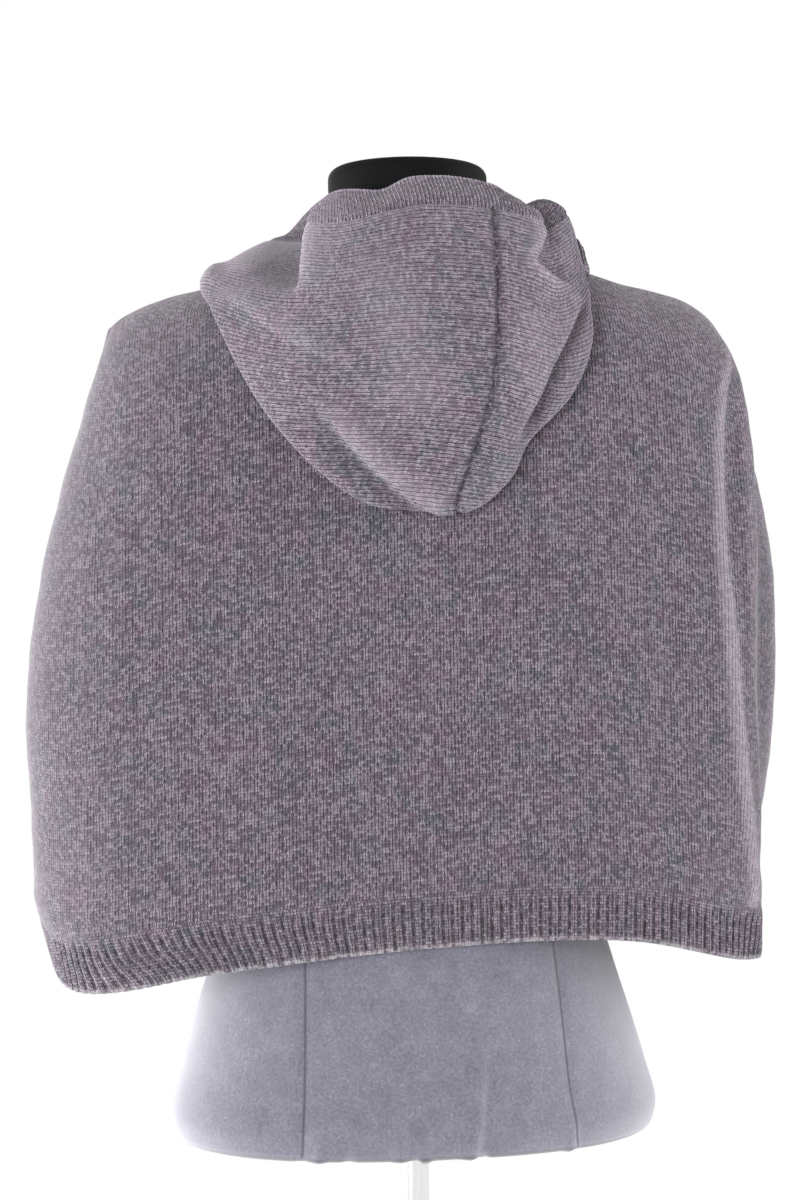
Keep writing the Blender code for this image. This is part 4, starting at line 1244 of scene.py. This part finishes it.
torso = formTorso(jersey)
cap = smoothCopy("form_neck_cap", "formNeckCap", form["capSubdivide"], capBlack)
for node, finish in (("stand_pole", chrome), ("stand_base", steel)):
    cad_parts[node].data.materials[0] = finish
print("form ready")
for piece, node, place in (
        (backPanel, "back_panel", "melange_knit"), (frontPanel, "front_panel", "melange_knit"),
        (backRib, "hem_rib_back", "melange_rib"), (frontRib, "hem_rib_front", "melange_rib"),
        (hoodRight, "hood_right", "melange_knit"), (hoodLeft, "hood_left", "melange_knit"),
        (hoodBand, "hood_band", "melange_rib"), (torso, "form_torso", "heather_jersey"),
        (cap, "form_neck_cap", "black_cap")):
    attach(piece, "root")
    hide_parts(node)
# each cut's width, length and flat area, how it is held, and what it lies on
for piece, flat, area, held, under in (
        (backPanel, (0.697, 0.531), 0.3239, "hung", [torso]),
        (frontPanel, (0.735, 0.550), 0.3469, "hung", [torso]),
        (backRib, (0.826, 0.040), 0.0302, "hung", [backPanel]),
        (frontRib, (0.857, 0.039), 0.0314, "hung", [frontPanel]),
        (hoodRight, (0.340, 0.269), 0.0761, "folded", [backPanel]),
        (hoodLeft, (0.370, 0.309), 0.1043, "folded", [backPanel]),
        (hoodBand, (0.772, 0.038), 0.0270, "folded", [hoodLeft, hoodRight])):
    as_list(under)
print("pieces joined to the frame")


# ---- camera, light and floor

view = {"azimuth": 172.5, "distance": 1.80, "height": 1.165, "lens": 72.0, "aside": 0.005, "roll": 0.65}


def placeCamera():
    turn = math.radians(view["azimuth"])
    spot = Vector((view["distance"] * math.sin(turn), -view["distance"] * math.cos(turn), view["height"]))
    ahead = Vector((-math.sin(turn), math.cos(turn), 0.0))
    right = ahead.cross(Vector((0.0, 0.0, 1.0)))
    ahead = (ahead - right * view["aside"]).normalized()
    right = ahead.cross(Vector((0.0, 0.0, 1.0))).normalized()
    up = right.cross(ahead)
    c, s = math.cos(math.radians(view["roll"])), math.sin(math.radians(view["roll"]))
    right, up = right * c - up * s, right * s + up * c
    data = bpy.data.cameras.new("camera")
    data.lens = view["lens"]
    camera = newObject("camera", data)
    rotation = Matrix((right, up, -ahead)).transposed()
    camera.matrix_world = Matrix.Translation(spot) @ rotation.to_4x4()
    bpy.context.scene.camera = camera


studio = {
    "surround": 0.48,         # light that comes from all round
    "backdrop": 1.0,          # how bright the surround itself looks
    "floorRadius": 2.0,
    "floorColour": (0.86, 0.86, 0.86),
    # name, place, aims at, size, power
    "lamps": (
        ("keyLamp", (1.2, 2.3, 1.25), (0.0, 0.0, 1.12), 1.0, 54.0),
        ("leftRim", (2.3, -0.6, 1.00), (0.0, 0.0, 0.95), 1.6, 64.0),
        ("rightRim", (-2.3, 0.3, 1.55), (0.0, 0.0, 1.30), 1.6, 52.0),
        ("frontLamp", (0.6, -2.4, 1.9), (0.0, 0.0, 1.05), 1.4, 12.0),
    ),
}


def placeLights():
    world = bpy.data.worlds.new("studioSurround")
    world.use_nodes = True
    bench = nodeBench(world.node_tree)
    rays = bench.put("LightPath")
    seen = bench.compute("MAXIMUM", rays["Is Camera Ray"], rays["Is Glossy Ray"])
    strength = bench.ramp(seen, 0.0, 1.0, studio["surround"], studio["backdrop"])
    back = world.node_tree.nodes["Background"].inputs
    bench.feed(back, {"Color": (1.0, 1.0, 1.0), "Strength": strength})
    bpy.context.scene.world = world
    for name, place, aim, size, power in studio["lamps"]:
        data = bpy.data.lights.new(name, "AREA")
        data.size = size
        data.energy = power
        lamp = newObject(name, data)
        lamp.location = place
        lamp.rotation_euler = (Vector(aim) - Vector(place)).to_track_quat("-Z", "Y").to_euler()


def layFloor():
    bpy.ops.mesh.primitive_circle_add(vertices=96, radius=studio["floorRadius"], fill_type="NGON",
                                      location=(0.0, 0.0, 0.0))
    floor = bpy.context.active_object
    floor.name = "studioFloor"
    material, bench, shader = newMaterial("paleFloor")
    bench.feed(shader, {"Base Color": studio["floorColour"], "Roughness": 0.9})
    floor.data.materials.append(material)


placeCamera()
placeLights()
layFloor()
bpy.context.scene.view_settings.view_transform = "Standard"
print("stage ready")
